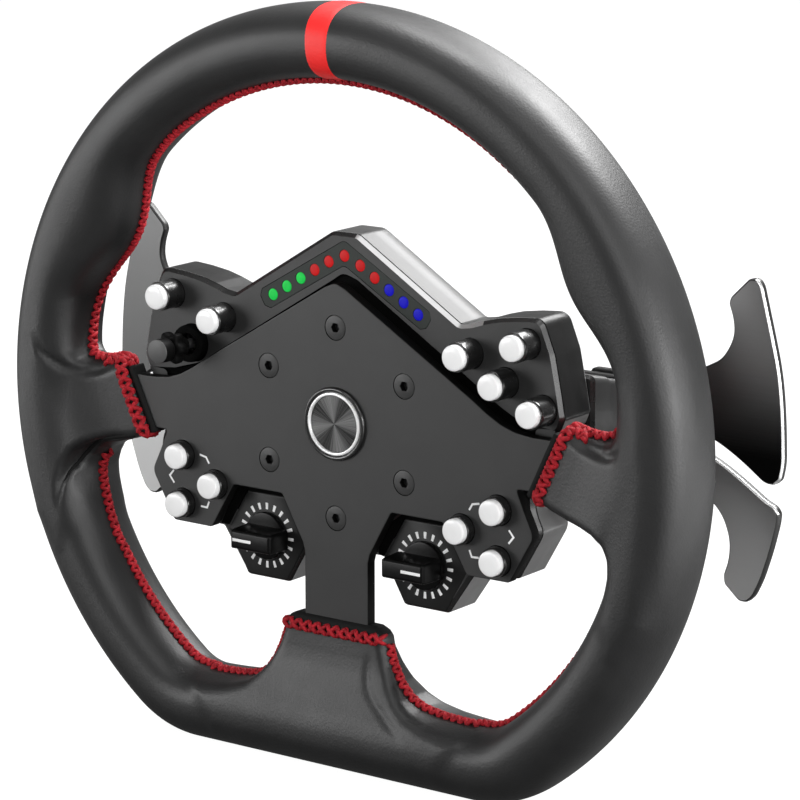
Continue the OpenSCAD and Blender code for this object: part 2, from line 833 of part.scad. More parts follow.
// Arm between two lugs, from z0 to z1, with the blade's seat behind it
module paddle_arm(z0, z1) {
    h = z1 - z0;
    color("#303033") at_frame() difference() {
        union() {
            translate([pivot_x, pivot_y, z0]) cylinder(r = arm_hub_r, h = h);
            translate([pivot_x, blade_back - arm_t, z0]) cube([arm_reach - pivot_x, arm_t, h]);
        }
        translate([pivot_x, pivot_y, z0 - 1])
            cylinder(d = pivot_d + 2 * run_gap * 0.5, h = h + 2);
        for (x = ARM_SCREWS) rod([x, (z0 + z1) / 2], 1.5 + seat_gap, blade_back - arm_t - 1,
            blade_back + 1);
    }
}

shift_z = [arm_mid + lug_t / 2 + arm_gap, module_top - lug_t - arm_gap];
clutch_z = [module_low + lug_t + arm_gap, arm_mid - lug_t / 2 - arm_gap];

module shift_arm_left() { side("left") paddle_arm(shift_z[0], shift_z[1]); }
module shift_arm_right() { paddle_arm(shift_z[0], shift_z[1]); }
module clutch_arm_left() { side("left") paddle_arm(clutch_z[0], clutch_z[1]); }
module clutch_arm_right() { paddle_arm(clutch_z[0], clutch_z[1]); }

// Countersunk seat of one blade screw, cut at the blade's back
module blade_screw_cuts(z) {
    for (x = ARM_SCREWS) {
        rod([x, z], 1.5 + run_gap, blade_back - 1, blade_back + blade_t + 1);
        rod([x, z], 2.9 + run_gap, blade_back + blade_t - 1.6, blade_back + blade_t + 1);
    }
}

module blade_screws(z) {
    color("#c4c6c9") at_frame() for (x = ARM_SCREWS) {
        rod([x, z], 1.5, blade_back - arm_t, blade_back + blade_t - 1);
        rod([x, z], 2.9, blade_back + blade_t - 1.6, blade_back + blade_t);
    }
}

module shift_blade() {
    z0 = shift_z[0];
    z1 = shift_z[1];
    color("#77787b") at_frame() difference() {
        slab(blade_back, blade_t) polygon([[70, z0 + 1], [70, z1 - 1], [104, z1 - 1], [117, 25],
            [124.6, 29], [127.8, 33.7], [129.7, 38.5], [129.2, 43.8], [127, 49.4], [127.8, 51.4],
            [135.4, 58.8], [137.8, 59.4], [140, 58], [144.4, 42.1], [148.4, 26.7], [150.1, 10.9],
            [150.9, -5], [149.6, -11], [147, -13.4], [143, -13.2], [133.6, -6.3], [124.5, -1.1],
            [112, z0], [100, z0 + 1]]);
        blade_screw_cuts((z0 + z1) / 2);
    }
}

module clutch_blade() {
    z0 = clutch_z[0];
    z1 = clutch_z[1];
    color("#77787b") at_frame() difference() {
        slab(blade_back, blade_t) polygon([[70, z0 + 1], [70, z1 - 1], [100, z1 - 1], [112, z1 - 1.6],
            [124.7, -7.6], [133.8, -12.8], [144, -19.6], [147.6, -20.8], [149.4, -23], [149, -27],
            [146.5, -37.2], [142.8, -48.4], [139.7, -54.7], [136.9, -57.3], [133.4, -57.3],
            [127.4, -51.8], [127, -48.6], [129.2, -42.5], [129.4, -35.2], [126.8, -28.3],
            [123.8, -24.4], [117, z0 - 0.6], [104, z0 + 1]]);
        blade_screw_cuts((z0 + z1) / 2);
    }
}

module shift_blade_left() { side("left") shift_blade(); }
module shift_blade_right() { shift_blade(); }
module clutch_blade_left() { side("left") clutch_blade(); }
module clutch_blade_right() { clutch_blade(); }
module shift_screws_left() { side("left") blade_screws((shift_z[0] + shift_z[1]) / 2); }
module shift_screws_right() { blade_screws((shift_z[0] + shift_z[1]) / 2); }
module clutch_screws_left() { side("left") blade_screws((clutch_z[0] + clutch_z[1]) / 2); }
module clutch_screws_right() { blade_screws((clutch_z[0] + clutch_z[1]) / 2); }

// ---- hub ----

ring_y = mouth_back - 3.2;
ring_in = barrel_d / 2 - 1;

// Flanged hub with the shaft bore
module hub_body() {
    color("#8f9195") at_frame() difference() {
        union() {
            slab(plate_t, flange_t) circle(d = flange_d);
            slab(lip_y, plate_t + flange_t - lip_y) circle(d = lip_d);
            rod([0, 0], barrel_d / 2, plate_t, mouth_back);
        }
        rod([0, 0], bore_d / 2, bore_floor, mouth_back + 1);
        rod([0, 0], pin_block_r + seat_gap, bore_floor - pin_block_t - 0.6, bore_floor + 1);
        rod([0, 0], 5, plate_t - 1, bore_floor);
        slab(plate_t - 1, bolt_l - plate_t + 2) bolt_places() circle(d = bolt_d + 2 * seat_gap);
        slab(ring_y, ring_t + 0.1) difference() {
            circle(d = barrel_d + 2);
            circle(r = ring_in);
        }
        ball_places() {
            translate([0, 0, barrel_d / 2 - ball_d - free_gap])
                cylinder(d = ball_d + run_gap, h = barrel_d);
            cylinder(d = ball_d * 0.55, h = barrel_d);
        }
    }
}

// Radial ball holes, drawn outwards from the axis
module ball_places() {
    for (i = [0:3]) translate([0, ball_y, 0]) rotate([0, 45 + i * 90, 0]) children();
}

// Balls that lock the hub on the shaft
module locking_balls() {
    color("#d8dadc") at_frame() ball_places()
        translate([0, 0, barrel_d / 2 - seat_gap - ball_d / 2]) sphere(d = ball_d);
}

// Sleeve that is drawn forwards to free the balls
module release_collar() {
    color("#6f7276") at_frame() difference() {
        rod([0, 0], collar_r, collar_front, collar_back);
        rod([0, 0], barrel_d / 2 + run_gap, collar_front - 1, collar_back + 1);
        for (i = [0:11]) rotate([0, i * 30, 0])
            translate([collar_r + 1.2, collar_front - 1, 0]) rotate([-90, 0, 0])
                cylinder(r = 2.2, h = collar_l + 2);
    }
}

spring_wire = 1.2;
spring_turns = 2.5;
spring_len = collar_front - module_mid - 2 * free_gap;
spring_r = barrel_d / 2 + 0.5 + spring_wire / 2;

// A round spring as rings swept along its coil
module collar_spring() {
    n = 60;
    m = 8;
    pitch = (spring_len - spring_wire) / spring_turns;
    pts = [for (i = [0:n], j = [0:m - 1])
        let (a = i / n * spring_turns * 360, b = j / m * 360,
            r = spring_r + spring_wire / 2 * cos(b))
        [r * cos(a), module_mid + free_gap + spring_wire / 2 + pitch * a / 360
            + spring_wire / 2 * sin(b), r * sin(a)]];
    sides = [for (i = [0:n - 1], j = [0:m - 1])
        [i * m + j, i * m + (j + 1) % m, (i + 1) * m + (j + 1) % m, (i + 1) * m + j]];
    ends = [[for (j = [m - 1:-1:0]) j], [for (j = [0:m - 1]) n * m + j]];
    color("#c9cbce") at_frame() polyhedron(points = pts, faces = concat(sides, ends));
}

// Snap ring that stops the collar
module retaining_ring() {
    color("#c9cbce") at_frame() slab(ring_y, ring_t) difference() {
        circle(r = barrel_d / 2 + 2);
        circle(r = ring_in + seat_gap);
        translate([0, barrel_d / 2]) square([6, 10], center = true);
    }
}

// Block of sprung contacts at the bottom of the bore
module contact_block() {
    color("#b8902f") at_frame() difference() {
        rod([0, 0], pin_block_r, bore_floor - pin_block_t - 0.5, bore_floor - 0.4);
        for (i = [0:5]) rotate([0, i * 60, 0]) rod([5, 0], 0.7, bore_floor - 2, bore_floor);
    }
}

rim_grip();
rim_hoop();
centre_marker();
face_plate();
plate_bolts();
badge_cup();
badge_ring();
badge_disc();
front_shell();
rear_shell();
shell_screws();
light_window();
light_board();
shift_lights();
main_board();
button_switches();
button_barrels();
button_nuts();
cap_top_left_outer();
cap_top_left_inner();
cap_top_right_outer();
cap_top_right_inner();
cap_mid_right_inner();
cap_mid_right_outer();
cap_low_left_upper();
cap_low_left_lower();
cap_low_left_inner();
cap_low_right_upper();
cap_low_right_lower();
cap_low_right_inner();
stick_base();
stick_yoke();
stick_carrier();
stick_shaft();
stick_knob();
dial_plates();
dial_encoders();
dial_knob_left();
dial_knob_right();
paddle_housing();
module_screws();
paddle_pins();
shift_arm_left();
shift_arm_right();
clutch_arm_left();
clutch_arm_right();
shift_blade_left();
shift_blade_right();
clutch_blade_left();
clutch_blade_right();
shift_screws_left();
shift_screws_right();
clutch_screws_left();
clutch_screws_right();
hub_body();
release_collar();
collar_spring();
retaining_ring();
locking_balls();
contact_block();
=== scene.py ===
import math

import bmesh
import bpy
import numpy as np
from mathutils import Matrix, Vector
from mathutils.geometry import tessellate_polygon


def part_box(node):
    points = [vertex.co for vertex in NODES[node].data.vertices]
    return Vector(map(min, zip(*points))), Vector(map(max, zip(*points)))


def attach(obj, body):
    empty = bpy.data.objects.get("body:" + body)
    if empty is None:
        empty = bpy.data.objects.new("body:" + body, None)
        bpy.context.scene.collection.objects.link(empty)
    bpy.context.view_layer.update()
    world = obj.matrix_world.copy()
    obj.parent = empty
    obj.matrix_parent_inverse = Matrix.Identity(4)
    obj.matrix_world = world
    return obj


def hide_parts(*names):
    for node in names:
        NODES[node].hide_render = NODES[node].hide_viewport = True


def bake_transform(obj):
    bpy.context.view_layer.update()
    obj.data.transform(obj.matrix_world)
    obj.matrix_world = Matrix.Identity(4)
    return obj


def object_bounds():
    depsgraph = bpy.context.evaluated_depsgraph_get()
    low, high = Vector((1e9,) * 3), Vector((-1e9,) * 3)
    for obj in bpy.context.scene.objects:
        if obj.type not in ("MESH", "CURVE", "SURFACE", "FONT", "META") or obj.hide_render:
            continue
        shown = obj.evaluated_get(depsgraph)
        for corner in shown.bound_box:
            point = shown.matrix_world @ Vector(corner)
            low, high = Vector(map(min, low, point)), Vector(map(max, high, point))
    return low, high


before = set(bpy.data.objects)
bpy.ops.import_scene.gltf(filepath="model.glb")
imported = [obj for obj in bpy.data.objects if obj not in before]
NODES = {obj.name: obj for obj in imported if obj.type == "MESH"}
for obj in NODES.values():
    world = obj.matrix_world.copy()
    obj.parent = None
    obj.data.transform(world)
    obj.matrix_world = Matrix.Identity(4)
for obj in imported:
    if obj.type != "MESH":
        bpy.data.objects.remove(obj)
CAD_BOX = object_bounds()
SCENE = bpy.context.scene
MM = 0.001
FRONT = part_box("face_plate")[0][1]
TOUCHING = 0.000001
JOINED_SHARP = 38
AXIS = (0.0, 0.0)
SIDES = (1, -1)


def loc(p):
    """A point in mm from the wheel's axis and the plate's front, in metres in the frame."""
    p = np.asarray(p, float) * MM
    p[..., 1] += FRONT
    return p


def add_object(name, data):
    obj = bpy.data.objects.new(name, data)
    SCENE.collection.objects.link(obj)
    return obj


# ---- camera

CAM_AZ = math.radians(36.16)
CAM_AIM, CAM_HEIGHT, CAM_DISTANCE = np.array([28.62, 0.0, 12.45]), 12.54, 1271.55


def look(obj, target):
    direction = Vector(target) - obj.location
    obj.rotation_euler = direction.to_track_quat("-Z", "Y").to_euler()


def toward(bearing, height=0.0):
    """A direction in degrees to the right of the camera's side and above the ground."""
    turn, level = CAM_AZ + math.radians(bearing), math.radians(height)
    return np.array([math.sin(turn) * math.cos(level), -math.cos(turn) * math.cos(level),
                     math.sin(level)])


cam_data = bpy.data.cameras.new("camera")
cam_data.lens = 162.16
cam_data.sensor_width = 36.0
cam_data.clip_end = 20.0
cam = add_object("camera", cam_data)
cam.location = loc(CAM_AIM + CAM_DISTANCE * toward(0, CAM_HEIGHT))
look(cam, loc(CAM_AIM))
SCENE.camera = cam

# ---- material tools


def fill(node, **values):
    """Sets a node's inputs by name, with _ for a space."""
    for key, value in values.items():
        node.inputs[key.replace("_", " ")].default_value = value


def new_node(tree, kind, links=None, **values):
    n = tree.nodes.new(kind)
    fill(n, **values)
    for name, source in (links or {}).items():
        tree.links.new(source, n.inputs[name])
    return n


def calculate(tree, operation, *terms):
    """The result of a Math node on numbers and sockets."""
    n = new_node(tree, "ShaderNodeMath")
    n.operation = operation
    for i, term in enumerate(terms):
        if isinstance(term, float):
            n.inputs[i].default_value = term
        else:
            tree.links.new(term, n.inputs[i])
    return n.outputs[0]


def tint(v):
    """A colour, from a colour or a grey level."""
    return (v, v, v) if isinstance(v, float) else v


class Mat:
    """A Principled material that is built up from procedural textures."""

    def __init__(self, name, rough=0.5, metal=0.0, spec=0.5, coat=0.0):
        self.m = bpy.data.materials.new(name)
        self.m.use_nodes = True
        self.tree = self.m.node_tree
        self.bsdf = self.tree.nodes["Principled BSDF"]
        fill(self.bsdf, Roughness=rough, Metallic=metal, Specular_IOR_Level=spec,
             Coat_Weight=coat)
        self.coord = new_node(self.tree, "ShaderNodeTexCoord").outputs["Object"]
        self.normal = None

    def texture(self, kind, vector=None, **values):
        return new_node(self.tree, kind, {"Vector": vector or self.coord}, **values)

    def stretched(self, scale):
        return self.texture("ShaderNodeMapping", Scale=scale).outputs["Vector"]

    def noise(self, scale, detail=3.0, rough=0.5, vector=None):
        return self.texture("ShaderNodeTexNoise", vector, Scale=scale, Detail=detail,
                            Roughness=rough).outputs["Fac"]

    def cells(self, scale, smooth):
        n = self.texture("ShaderNodeTexVoronoi", Scale=scale)
        n.feature = "SMOOTH_F1"
        fill(n, Smoothness=smooth)
        return n.outputs["Distance"]

    def feed(self, name, source):
        self.tree.links.new(source, self.bsdf.inputs[name])

    def ramp(self, fac, low, high, a, b):
        """Base colour from low at a to high at b."""
        n = new_node(self.tree, "ShaderNodeValToRGB", {"Fac": fac})
        for stop, at, colour in zip(n.color_ramp.elements, (a, b), (low, high)):
            stop.position = at
            stop.color = (*tint(colour), 1.0)
        self.feed("Base Color", n.outputs["Color"])

    def colour(self, low, high, scale, detail=4.0, vector=None):
        self.ramp(self.noise(scale, detail, vector=vector), low, high, 0.35, 0.65)

    def roughness(self, span, scale, vector=None):
        n = new_node(self.tree, "ShaderNodeMapRange", {"Value": self.noise(scale, vector=vector)},
                     To_Min=span[0], To_Max=span[1])
        self.feed("Roughness", n.outputs["Result"])

    def bump(self, height, strength, distance):
        links = {"Height": height}
        if self.normal:
            links["Normal"] = self.normal
        n = new_node(self.tree, "ShaderNodeBump", links, Strength=strength, Distance=distance)
        self.normal = n.outputs["Normal"]
        self.feed("Normal", self.normal)


def make_soft(name, low, high, scales, span, bumps, **finish):
    """Leather or thread; each bump is a texture, its scale and detail, strength and depth."""
    m = Mat(name, **finish)
    m.colour(low, high, scales[0])
    if span:
        m.roughness(span, scales[1])
    for texture, scale, detail, strength, depth in bumps:
        m.bump(texture(m, scale, detail), strength, depth)
    return m.m


def make_plain(name, low, high, rough=(0.4, 0.5), strength=0.12, grain=1800.0, **finish):
    """Paint or plastic, with a fine grain."""
    m = Mat(name, **finish)
    m.colour(low, high, 70.0)
    m.roughness(rough, 119.0)
    if strength:
        m.bump(m.noise(grain), strength, 0.0001)
    return m.m


def make_brushed(name, low, high, rough, stretch):
    m = Mat(name, metal=1.0)
    v = m.stretched(stretch)
    m.colour(low, high, 1.0, 5.0, v)
    m.roughness(rough, 1.6, v)
    m.bump(m.noise(1.0, 4.0, vector=v), 0.12, 0.00005)
    return m.m


def make_spun(name, low, high, centre):
    """Radially brushed disc around an axis along y, with four lighter and darker sectors painted
    into its colour as the brushing's sheen.
    """
    m = Mat(name, metal=1.0, rough=0.33)
    tree = m.tree
    moved = m.texture("ShaderNodeMapping", Location=tuple(-c for c in centre)).outputs["Vector"]
    split = new_node(tree, "ShaderNodeSeparateXYZ", {"Vector": moved})
    angle = calculate(tree, "ARCTAN2", split.outputs["Z"], split.outputs["X"])
    radius = new_node(tree, "ShaderNodeVectorMath")
    radius.operation = "LENGTH"
    tree.links.new(moved, radius.inputs[0])
    polar = new_node(tree, "ShaderNodeCombineXYZ", {"X": angle, "Y": radius.outputs["Value"]})
    fine = m.noise(26.0, 5.0, 0.7, polar.outputs["Vector"])
    # Painted sheen: a fourfold rise and fall of the colour around the disc.
    wide = calculate(tree, "SINE", calculate(tree, "MULTIPLY_ADD", angle, 4.0, 0.6))
    m.ramp(calculate(tree, "MULTIPLY_ADD", wide, 0.16, fine), low, high, 0.3, 0.75)
    m.bump(fine, 0.1, 0.00004)
    return m.m


def make_blade_painted_reflection(name, low, high, z0, z1):
    """Anodised metal with a painted reflection that changes its colour from z0 mm up to z1 mm."""
    m = Mat(name, metal=0.85)
    split = new_node(m.tree, "ShaderNodeSeparateXYZ", {"Vector": m.coord})
    rise = new_node(m.tree, "ShaderNodeMapRange", {"Value": split.outputs["Z"]},
                    From_Min=z0 * MM, From_Max=z1 * MM)
    grain = m.noise(1.0, 4.0, vector=m.stretched((30.0, 1400.0, 1400.0)))
    m.ramp(calculate(m.tree, "MULTIPLY_ADD", grain, 0.05, rise.outputs["Result"]), low, high,
           0.06, 1.06)
    m.roughness((0.36, 0.44), 60.0)
    m.bump(grain, 0.03, 0.00003)
    return m.m


def make_lens(name, colour):
    m = Mat(name, spec=0.2)
    m.colour(tuple(c * 0.8 for c in colour), colour, 500.0)
    fill(m.bsdf, Emission_Color=(*colour, 1.0), Emission_Strength=0.42)
    return m.m


# ---- materials

LEATHER = make_soft("leather_black", (0.006, 0.006, 0.0062), (0.010, 0.010, 0.0102),
                    (55.0, 70.0), (0.42, 0.50), [(Mat.cells, 1150.0, 0.5, 0.16, 0.0002),
                                                 (Mat.noise, 420.0, 4.0, 0.12, 0.0004)], spec=0.52)
# Near-black leather: the cut edge at the sleeve mouths, and painted shade beside them, under the
# stem's plate and in the left sleeve's fold.
LEATHER_EDGE_AND_SHADE = make_soft("leather_cut_edge_and_painted_shade", 0.002, 0.004, (90.0, 90.0), (0.7, 0.8),
                         [(Mat.noise, 900.0, 3.0, 0.2, 0.0002)], spec=0.2)
MARKER = make_soft("leather_red", (0.88, 0.014, 0.014), (0.96, 0.022, 0.02), (80.0, 90.0),
                   (0.45, 0.55), [(Mat.cells, 1300.0, 0.5, 0.25, 0.0002),
                                  (Mat.noise, 300.0, 4.0, 0.15, 0.0004)], spec=0.4)
THREAD = make_soft("thread_red", (0.22, 0.006, 0.011), (0.46, 0.013, 0.023), (700.0,), None,
                   [(Mat.noise, 2600.0, 2.0, 0.5, 0.0002)], rough=0.7, spec=0.25)
PLATE = make_plain("plate_paint", 0.017, 0.020, (0.42, 0.5), grain=2600.0)
PLATE_EDGE = make_plain("plate_edge_black", 0.002, 0.003, (0.6, 0.7), spec=0.1)
CASE = make_plain("case_plastic", 0.020, 0.025, (0.45, 0.55), 0.2, 2000.0)
CASE_REAR = make_plain("case_rear_plastic", 0.016, 0.022, (0.4, 0.5), 0.2, 2000.0)
# Lit and shaded copies of the case plastic for its walls: painted light, painted shade and a
# painted highlight on chamfers.
CASE_SIDE_LIT = make_plain("case_side_painted_light", 0.21, 0.24, (0.27, 0.3), 0.05, 2000.0, metal=0.3,
                       spec=0.3)
CASE_SIDE_SHADED = make_plain("case_side_painted_shade", 0.006, 0.009, (0.3, 0.36), 0.05, 2000.0, spec=0.3)
CASE_TOP_LIT = make_plain("case_top_painted_light", 0.045, 0.053, (0.29, 0.32), 0.04, 2000.0, metal=0.06,
                      spec=0.3)
CHAMFER = make_plain("case_chamfer", 0.06, 0.07, (0.25, 0.3), 0.03, metal=0.8)
CHAMFER_LIT = make_plain("case_chamfer_painted_highlight", 0.5, 0.56, (0.3, 0.35), 0.02, metal=0.8)
GLOSS = make_plain("gloss_black", 0.005, 0.008, (0.24, 0.3), 0.03, coat=0.4)
GLOSS_SOFT = make_plain("knob_black_satin", 0.002, 0.003, (0.25, 0.32), 0.05, spec=0.12)
WHITE = make_plain("gloss_white", 0.90, 0.94, (0.18, 0.26), 0.03, coat=0.3)
INK = make_plain("white_ink", 0.88, 0.94, (0.5, 0.6), 0.1)
SATIN = make_plain("satin_black", 0.010, 0.016, (0.3, 0.42))
# Painted shade: near-black for grooves, holes, recesses and the stick's cup.
SHADE_BLACK = make_plain("groove_painted_shade", 0.0015, 0.0025, (0.8, 0.9), spec=0.05)
STICK_BLACK = make_plain("stick_black", 0.002, 0.003, (0.5, 0.6), 0.1, spec=0.06)
STICK_FACE = make_plain("stick_face_grey", 0.045, 0.06)
DIAL_FACE = make_plain("dial_face_black", 0.006, 0.009, spec=0.3)
WINDOW = make_plain("tinted_window", (0.008, 0.012, 0.010), (0.011, 0.016, 0.013),
                    (0.4, 0.48), 0.02, spec=0.3)
BOARD = make_plain("board_green", (0.01, 0.09, 0.03), (0.015, 0.12, 0.045))
# Painted reflection: bright metal coloured near-white, as the white surroundings would show in it.
BRIGHT_PAINTED_REFLECTION = make_plain("bright_metal_painted_reflection", 0.86, 0.92, (0.25, 0.3), 0.02, metal=0.25)
# Blade edges are one metal: painted shade on the walls and on chamfers turned from the lamps, a
# painted highlight on chamfers facing them.
BLADE_EDGE_SHADE = make_plain("blade_edge_painted_shade", 0.004, 0.006)
BLADE_EDGE_HIGHLIGHT = make_plain("blade_edge_painted_highlight", 0.62, 0.7, (0.3, 0.36), 0.0, metal=0.9)
ALONG_X, ALONG_Y = (12.0, 900.0, 900.0), (900.0, 12.0, 900.0)
STEEL = make_brushed("plain_steel", 0.5, 0.62, (0.28, 0.42), ALONG_X)
BLACK_STEEL = make_brushed("black_screw", 0.03, 0.05, (0.3, 0.4), ALONG_X)
HUB = make_brushed("hub_anodised", 0.07, 0.10, (0.3, 0.4), ALONG_Y)
BRASS = make_brushed("contacts_gold", (0.7, 0.5, 0.2), (0.82, 0.62, 0.28), (0.28, 0.42), ALONG_Y)
COLLAR = make_brushed("collar_anodised", 0.05, 0.075, (0.3, 0.38), ALONG_Y)
DISC = make_spun("badge_brushed_painted_sheen", 0.02, 0.19, loc((0, 0, 0)))
# The four blades are one anodised metal: their colours and gradients are painted reflection and
# painted light, a lit copy for each blade.
BLADE_UPPER = make_blade_painted_reflection("blade_upper_anodised_painted_reflection", 0.004, 0.24, -6.0, 62.0)
BLADE_LOWER = make_blade_painted_reflection("blade_lower_anodised_painted_reflection", 0.40, 0.27, -58.0, -8.0)
BLADE_LEFT = make_blade_painted_reflection("blade_left_anodised_painted_light", 0.10, 0.13, -6.0, 58.0)
BLADE_LEFT_LOW_LIT = make_blade_painted_reflection("blade_left_low_anodised_painted_light", 0.48, 0.44, -58.0, -8.0)
GREEN = make_lens("lens_green", (0.006, 0.48, 0.06))
RED = make_lens("lens_red", (0.42, 0.004, 0.005))
BLUE = make_lens("lens_blue", (0.003, 0.002, 0.38))

# ---- mesh tools


def shade(obj, sharp=None, flat_caps=False):
    """Smooth shading, with edges kept from sharp degrees on; flat_caps leaves its ends flat."""
    mesh = obj.data
    if sharp:
        mesh.set_sharp_from_angle(angle=math.radians(sharp))
    flags = [not (flat_caps and abs(p.normal.y) > 0.999) for p in mesh.polygons]
    mesh.polygons.foreach_set("use_smooth", flags)
    mesh.update()


def add_mesh(name, verts, faces, material):
    """Makes an object from points in mm and faces."""
    mesh = bpy.data.meshes.new(name)
    mesh.from_pydata([tuple(p) for p in loc(np.asarray(verts, float))], [], faces)
    mesh.validate()
    mesh.materials.append(material)
    obj = add_object(name, mesh)
    shade(obj)
    return obj


def place(obj, slot, *nodes, body="wheel"):
    """Rides on its body and stands for the CAD nodes named; its slot is not used."""
    if nodes:
        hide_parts(*nodes)
    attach(obj, body)
    return obj


def on_side(points, s):
    """Points of the right half, on the right for s = 1 and on the left for s = -1."""
    return [(s * x, z) for x, z in points]


def both(points):
    """Closes a right-half outline with its mirror image."""
    return list(points) + on_side(points, -1)[::-1]


def flip(p):
    return (-p[0], p[1])


def walls(rows, n, first=0, loop=False, flipped=False):
    """Quads between closed rows of n points; loop joins the last row to the first."""
    out = []
    for j in range(rows if loop else rows - 1):
        a, b = first + j * n, first + (j + 1) % rows * n
        for i in range(n):
            k = (i + 1) % n
            out.append((a + i, b + i, b + k, a + k) if flipped else
                       (a + i, a + k, b + k, b + i))
    return out


def caps(rows, n):
    """Faces that close the first and the last row."""
    return [tuple(range(n))[::-1], tuple((rows - 1) * n + i for i in range(n))]


def weld(obj):
    bm = bmesh.new()
    bm.from_mesh(obj.data)
    bmesh.ops.remove_doubles(bm, verts=bm.verts, dist=TOUCHING)
    bmesh.ops.recalc_face_normals(bm, faces=bm.faces)
    bm.to_mesh(obj.data)
    bm.free()


def lathe(name, centre, profile, material, n=48, sharp=40, radius=None, loop=False):
    """Turns a profile of (radius, y) round an axis along y at centre (x, z).

    radius(r, angle) shapes a ring that isn't round, and loop closes the profile on itself.
    """
    verts = []
    for r, y in profile:
        for i in range(n):
            a = 2 * math.pi * i / n
            rr = radius(r, a) if radius else r
            verts.append((centre[0] + rr * math.cos(a), y, centre[1] + rr * math.sin(a)))
    rows = len(profile)
    obj = add_mesh(name, verts, walls(rows, n, loop=loop) + ([] if loop else caps(rows, n)),
                   material)
    weld(obj)
    shade(obj, sharp)
    return obj


def join(name, objs):
    """Joins loose meshes of one body into one piece."""
    verts, faces, mats, smooth, index = [], [], [], [], []
    for o in objs:
        base = len(verts)
        verts += [tuple(v.co) for v in o.data.vertices]
        for p in o.data.polygons:
            faces.append(tuple(base + v for v in p.vertices))
            m = o.data.materials[p.material_index]
            if m not in mats:
                mats.append(m)
            index.append(mats.index(m))
            smooth.append(p.use_smooth)
    mesh = bpy.data.meshes.new(name)
    mesh.from_pydata(verts, [], faces)
    for m in mats:
        mesh.materials.append(m)
    mesh.polygons.foreach_set("material_index", index)
    mesh.polygons.foreach_set("use_smooth", smooth)
    mesh.update()
    mesh.set_sharp_from_angle(angle=math.radians(JOINED_SHARP))
    for o in objs:
        bpy.data.objects.remove(o)
    return add_object(name, mesh)


# ---- leather grip

CORE_R, HALF_W, HALF_D, RIM_Y, RIM_POWER = 137.0, 13.5, 17.0, 6.25, 2.35
CORNER, BEND_R, BAR_Z = (63.0, -84.0), 32.0, -116.0
THUMB_AT, THUMB_HALF, THUMB_BULGE = 60.0, 15.5, 8.2
SLEEVE_ROUND, SLEEVE_BLEND = 3.6, 6.0
SLEEVE_FROM_X, SLEEVE_BELOW, SLEEVE_ABOVE = 80, 45, -75
STEM_WITHIN_X, STEM_BELOW, STEM_MOUTH_Z = 75, -65, -74.0
GRID_BEFORE, GRID_SIZE = (154, 19.5, 133), (308, 39, 287)
GRID_STEP, QUICK_GRID_STEP, GRID_PULLS = 1.0, 1.25, 4
MOUTH_X, MOUTH_Z, MOUTH_AT = 0.907, 0.42, 84.0
SIDE_WEB = [(85.8, -14.6), (93.5, -18.2), (101, -20.8), (107, -22.8), (111.5, -25.2),
            (114.5, -28.8), (116.4, -33.5), (117, -39), (116.6, -48), (121, -62), (134, -50),
            (138, 0), (132, 36), (124, 30), (121.5, 20), (119, 14), (116, 11.4), (112, 10.8),
            (107, 11.2), (103, 12.2), (99.3, 12), (97.3, 9.4)]
SIDE_FRONT = [(85.8, -14.6), (93.5, -18.2), (101, -20.2), (108, -21.4), (113.5, -22.8),
              (118, -25.6), (121, -30), (122.5, -36), (122.5, -44), (121, -52), (124, -62),
              (134, -50), (138, 0), (132, 36), (124, 30), (123, 20), (122, 13), (119.5, 9.2),
              (115, 7.4), (109, 7.6), (103.5, 8.8), (99.5, 9.8), (97.3, 9.4)]
STEM_WEB = both([(17.5, -72.4), (20.8, -73.8), (22.6, -76), (22.9, -80), (25, -86), (28, -92),
                 (32, -97), (37, -101), (45, -104.5), (58, -108), (50, -120)])
FOLD_ABOVE = [(101, 9.4), (106, 7.4), (110, 6), (114.5, 5.2), (119, 5.2), (123, 6.4),
              (127, 8.8), (131, 12), (133.5, 16.2), (134.8, 21)]
FOLD_UNDER = [(92, -16.4), (98, -17.6), (104, -18.8), (108.5, -20), (112.5, -22),
              (116.2, -24.8), (119.4, -28.2), (121.8, -32.4), (123.4, -37.5), (124, -44),
              (123.6, -51)]
FOLD_STEM = [(17.2, -80.5), (16.6, -85.5), (16.8, -90), (18, -94), (20.3, -97.3), (23.5, -100),
             (27, -102.7), (30.6, -105.5), (34.8, -108), (39, -110.2)]


def smoothstep(a, b, x):
    t = np.clip((x - a) / (b - a), 0.0, 1.0)
    return t * t * (3 - 2 * t)


def between(x, a, b, c, d):
    """Rises from 0 at a to 1 at b, and falls back to 0 from c to d."""
    return smoothstep(a, b, x) * (1 - smoothstep(c, d, x))


def smooth_min(a, b, k):
    h = np.clip(0.5 + 0.5 * (b - a) / k, 0.0, 1.0)
    return b + (a - b) * h - k * h * (1 - h)


def on_segment(px, pz, p0, p1):
    """How far along a segment each point lies, and the offset from there to the point."""
    ex, ez = p1[0] - p0[0], p1[1] - p0[1]
    wx, wz = px - p0[0], pz - p0[1]
    t = np.clip((wx * ex + wz * ez) / (ex * ex + ez * ez), 0.0, 1.0)
    return t, wx - ex * t, wz - ez * t


def outline_distance(px, pz, poly):
    """Signed distance to a closed outline, negative inside."""
    best = np.full(px.shape, 1e9)
    inside = np.zeros(px.shape, bool)
    for (ax, az), (bx, bz) in zip(poly, poly[1:] + poly[:1]):
        _, dx, dz = on_segment(px, pz, (ax, az), (bx, bz))
        best = np.minimum(best, dx * dx + dz * dz)
        at_x = ax + (bx - ax) * (pz - az) / (bz - az or 1e-9)
        inside ^= ((az > pz) != (bz > pz)) & (px < at_x)
    d = np.sqrt(best)
    return np.where(inside, -d, d)


def rounded_both(a, b, r):
    """Intersection of two shapes with a round edge."""
    a, b = a + r, b + r
    return np.hypot(np.maximum(a, 0), np.maximum(b, 0)) + np.minimum(np.maximum(a, b), 0) - r


